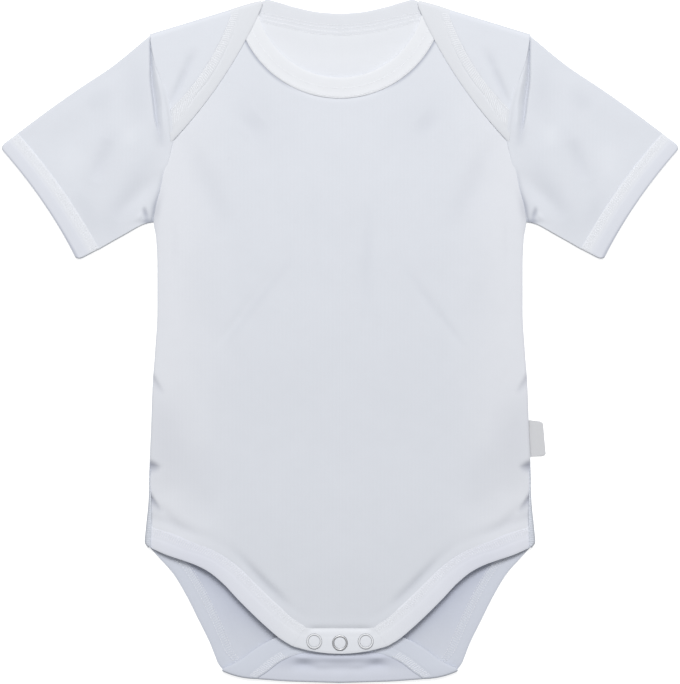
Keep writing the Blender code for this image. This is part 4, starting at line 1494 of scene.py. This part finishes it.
def snaps():
    for number, (x, y) in enumerate(SNAPS, 1):
        mesh = bmesh.new()
        loops = []
        tab_top = front_band_height(x, y) + BAND_SKIN / 2
        for angle in steps(0, 2 * math.pi, ROUND_STEPS)[:-1]:
            turn = Vector((math.cos(angle), math.sin(angle), 0))
            loops.append([mesh.verts.new((Vector((x, y, tab_top)) + turn * r + UP * z) * MM)
                          for r, z in RING])
        for near, far in zip(loops, loops[1:] + loops[:1]):
            for i in range(len(RING)):
                j = (i + 1) % len(RING)
                face = mesh.faces.new((near[i], far[i], far[j], near[j]))
                # The ring's edges take the dark finish, painted shade round them.
                face.material_index = int(i in RING_EDGES)
        bmesh.ops.recalc_face_normals(mesh, faces=mesh.faces)
        finish = NICKEL if number == METAL_RING else PAINTED
        thing = place(f"snap_ring_{number}", mesh, finish, RING_SHARP)
        thing.data.materials.append(RING_EDGE_SHADE)
        dress(thing, [f"snap_cap_{number}"])
        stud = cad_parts[f"snap_stud_{number}"]
        for slot in stud.material_slots:
            slot.material = NICKEL


def label():
    left_top, right_top, right_low, left_low = (Vector((*corner, 0)) for corner in LABEL)
    rows = []
    for v in steps(0, 1, LABEL_STEPS):
        a, b = left_low.lerp(left_top, v), right_low.lerp(right_top, v)
        from_end = min(v, 1 - v) * (right_top - right_low).length
        b -= (b - a).normalized() * rounded(from_end, LABEL_ROUND)
        puff = LABEL_PUFF * (1 - LABEL_PRESSED * v)
        rows.append([a.lerp(b, u) + UP * (LABEL_Z + puff * math.sin(math.pi * u))
                     for u in steps(0, 1, LABEL_ACROSS)])
    thing = shell("label_tape_loop", [sheet_grid(rows, LABEL_WALL)], TAPE,
                  lambda point: LABEL_TONE)
    dress(thing, ["side_label"])


front_cloth()
back_cloth()
neck_bindings()
leg_bindings()
sleeves()
hip_overlocks()
snaps()
label()

# ---------------- cuts

# What shows of each piece of cloth, laid flat: width, length, area in square centimetres, what it
# lies on, and what is sewn to it. Tubes are cut open, and bands give their visible strip. A name
# that ends in an underscore stands for a left and a right piece.
CUTS = {
    "back_cloth": (247, 506, 952, (), ("hip_overlock_left", "hip_overlock_right",
                                       "hip_stitches")),
    "front_cloth": (241, 388, 770, ("back_cloth",), ()),
    "sleeve_cloth_": (236, 104, 151, (), ()),
    "cuff_binding_": (179, 15.5, 27.4, (), ("sleeve_stitches",)),
    "neck_binding_front": (13.4, 171, 22.9, ("back_cloth",), ("neck_stitches",)),
    "neck_binding_back": (16, 306, 48.9, ("front_cloth",), ("neck_stitches",)),
    "leg_binding_": (16, 275, 39.8, ("back_cloth",), ("leg_stitches",)),
    "tab_front": (62.6, 18, 9.5, ("tab_back",), ("snap_ring_1", "snap_ring_2", "snap_ring_3")),
    "tab_back": (63, 17.2, 9.3, ("back_cloth",), ()),
    "label_tape_loop": (22, 11, 2.3, (), ())}

for name, (width, length, area, under, sewn) in CUTS.items():
    for side in ("left", "right") if name.endswith("_") else ("",):
        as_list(under)
        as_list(sewn)

# ---------------- floor, light and camera

FRAME_PX = 684       # of the photograph's height, each PX millimetres
PX = 0.63
LENS = 200.0
SENSOR = 36.0
AIM_Y = 0.3          # the camera is over this point
AIM_Z = 2            # and its frame is that tall at this height
FLOOR = plain("pale_floor", (0.9, 0.9, 0.9), 0.9, 0.0, 60, 0.02)
FLOOR_HALF = 3.0     # metres
FLOOR_GLOW = 0.6     # the floor is lit from below, as a white table in a studio is
WORLD_COLOUR = (0.98, 0.99, 1, 1)
WORLD_POWER = 0.37
KEY_AT = Vector((0.0, 1.05, 1.6))    # metres, as its size is
KEY_SIZE = (1.3, 0.8)
KEY_POWER = 28.0


def stage():
    mesh = bmesh.new()
    bmesh.ops.create_grid(mesh, x_segments=1, y_segments=1, size=FLOOR_HALF)
    floor = place("floor", mesh, FLOOR)
    shader = FLOOR.node_tree.nodes["Principled BSDF"]
    shader.inputs["Emission Color"].default_value = (*WHITE, 1)
    shader.inputs["Emission Strength"].default_value = FLOOR_GLOW
    floor.visible_diffuse = False
    floor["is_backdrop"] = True


def light():
    world = bpy.data.worlds.new("studio")
    world.use_nodes = True
    sky = world.node_tree.nodes["Background"]
    sky.inputs["Color"].default_value = WORLD_COLOUR
    sky.inputs["Strength"].default_value = WORLD_POWER
    bpy.context.scene.world = world
    lamp = bpy.data.lights.new("key", "AREA")
    lamp.shape = "RECTANGLE"
    lamp.size, lamp.size_y = KEY_SIZE
    lamp.energy = KEY_POWER
    thing = bpy.data.objects.new("key", lamp)
    thing.location = KEY_AT
    thing.rotation_euler = (-KEY_AT).to_track_quat("-Z", "Y").to_euler()
    bpy.context.scene.collection.objects.link(thing)


def camera():
    data = bpy.data.cameras.new("camera")
    data.lens = LENS
    data.sensor_width = SENSOR
    thing = bpy.data.objects.new("camera", data)
    thing.location = Vector((0, AIM_Y, LENS / SENSOR * FRAME_PX * PX + AIM_Z)) * MM
    bpy.context.scene.collection.objects.link(thing)
    bpy.context.scene.camera = thing


stage()
light()
camera()
bpy.context.scene.view_settings.view_transform = "Standard"

[[list(corner) for corner in box] for box in (CAD_BOX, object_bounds())]
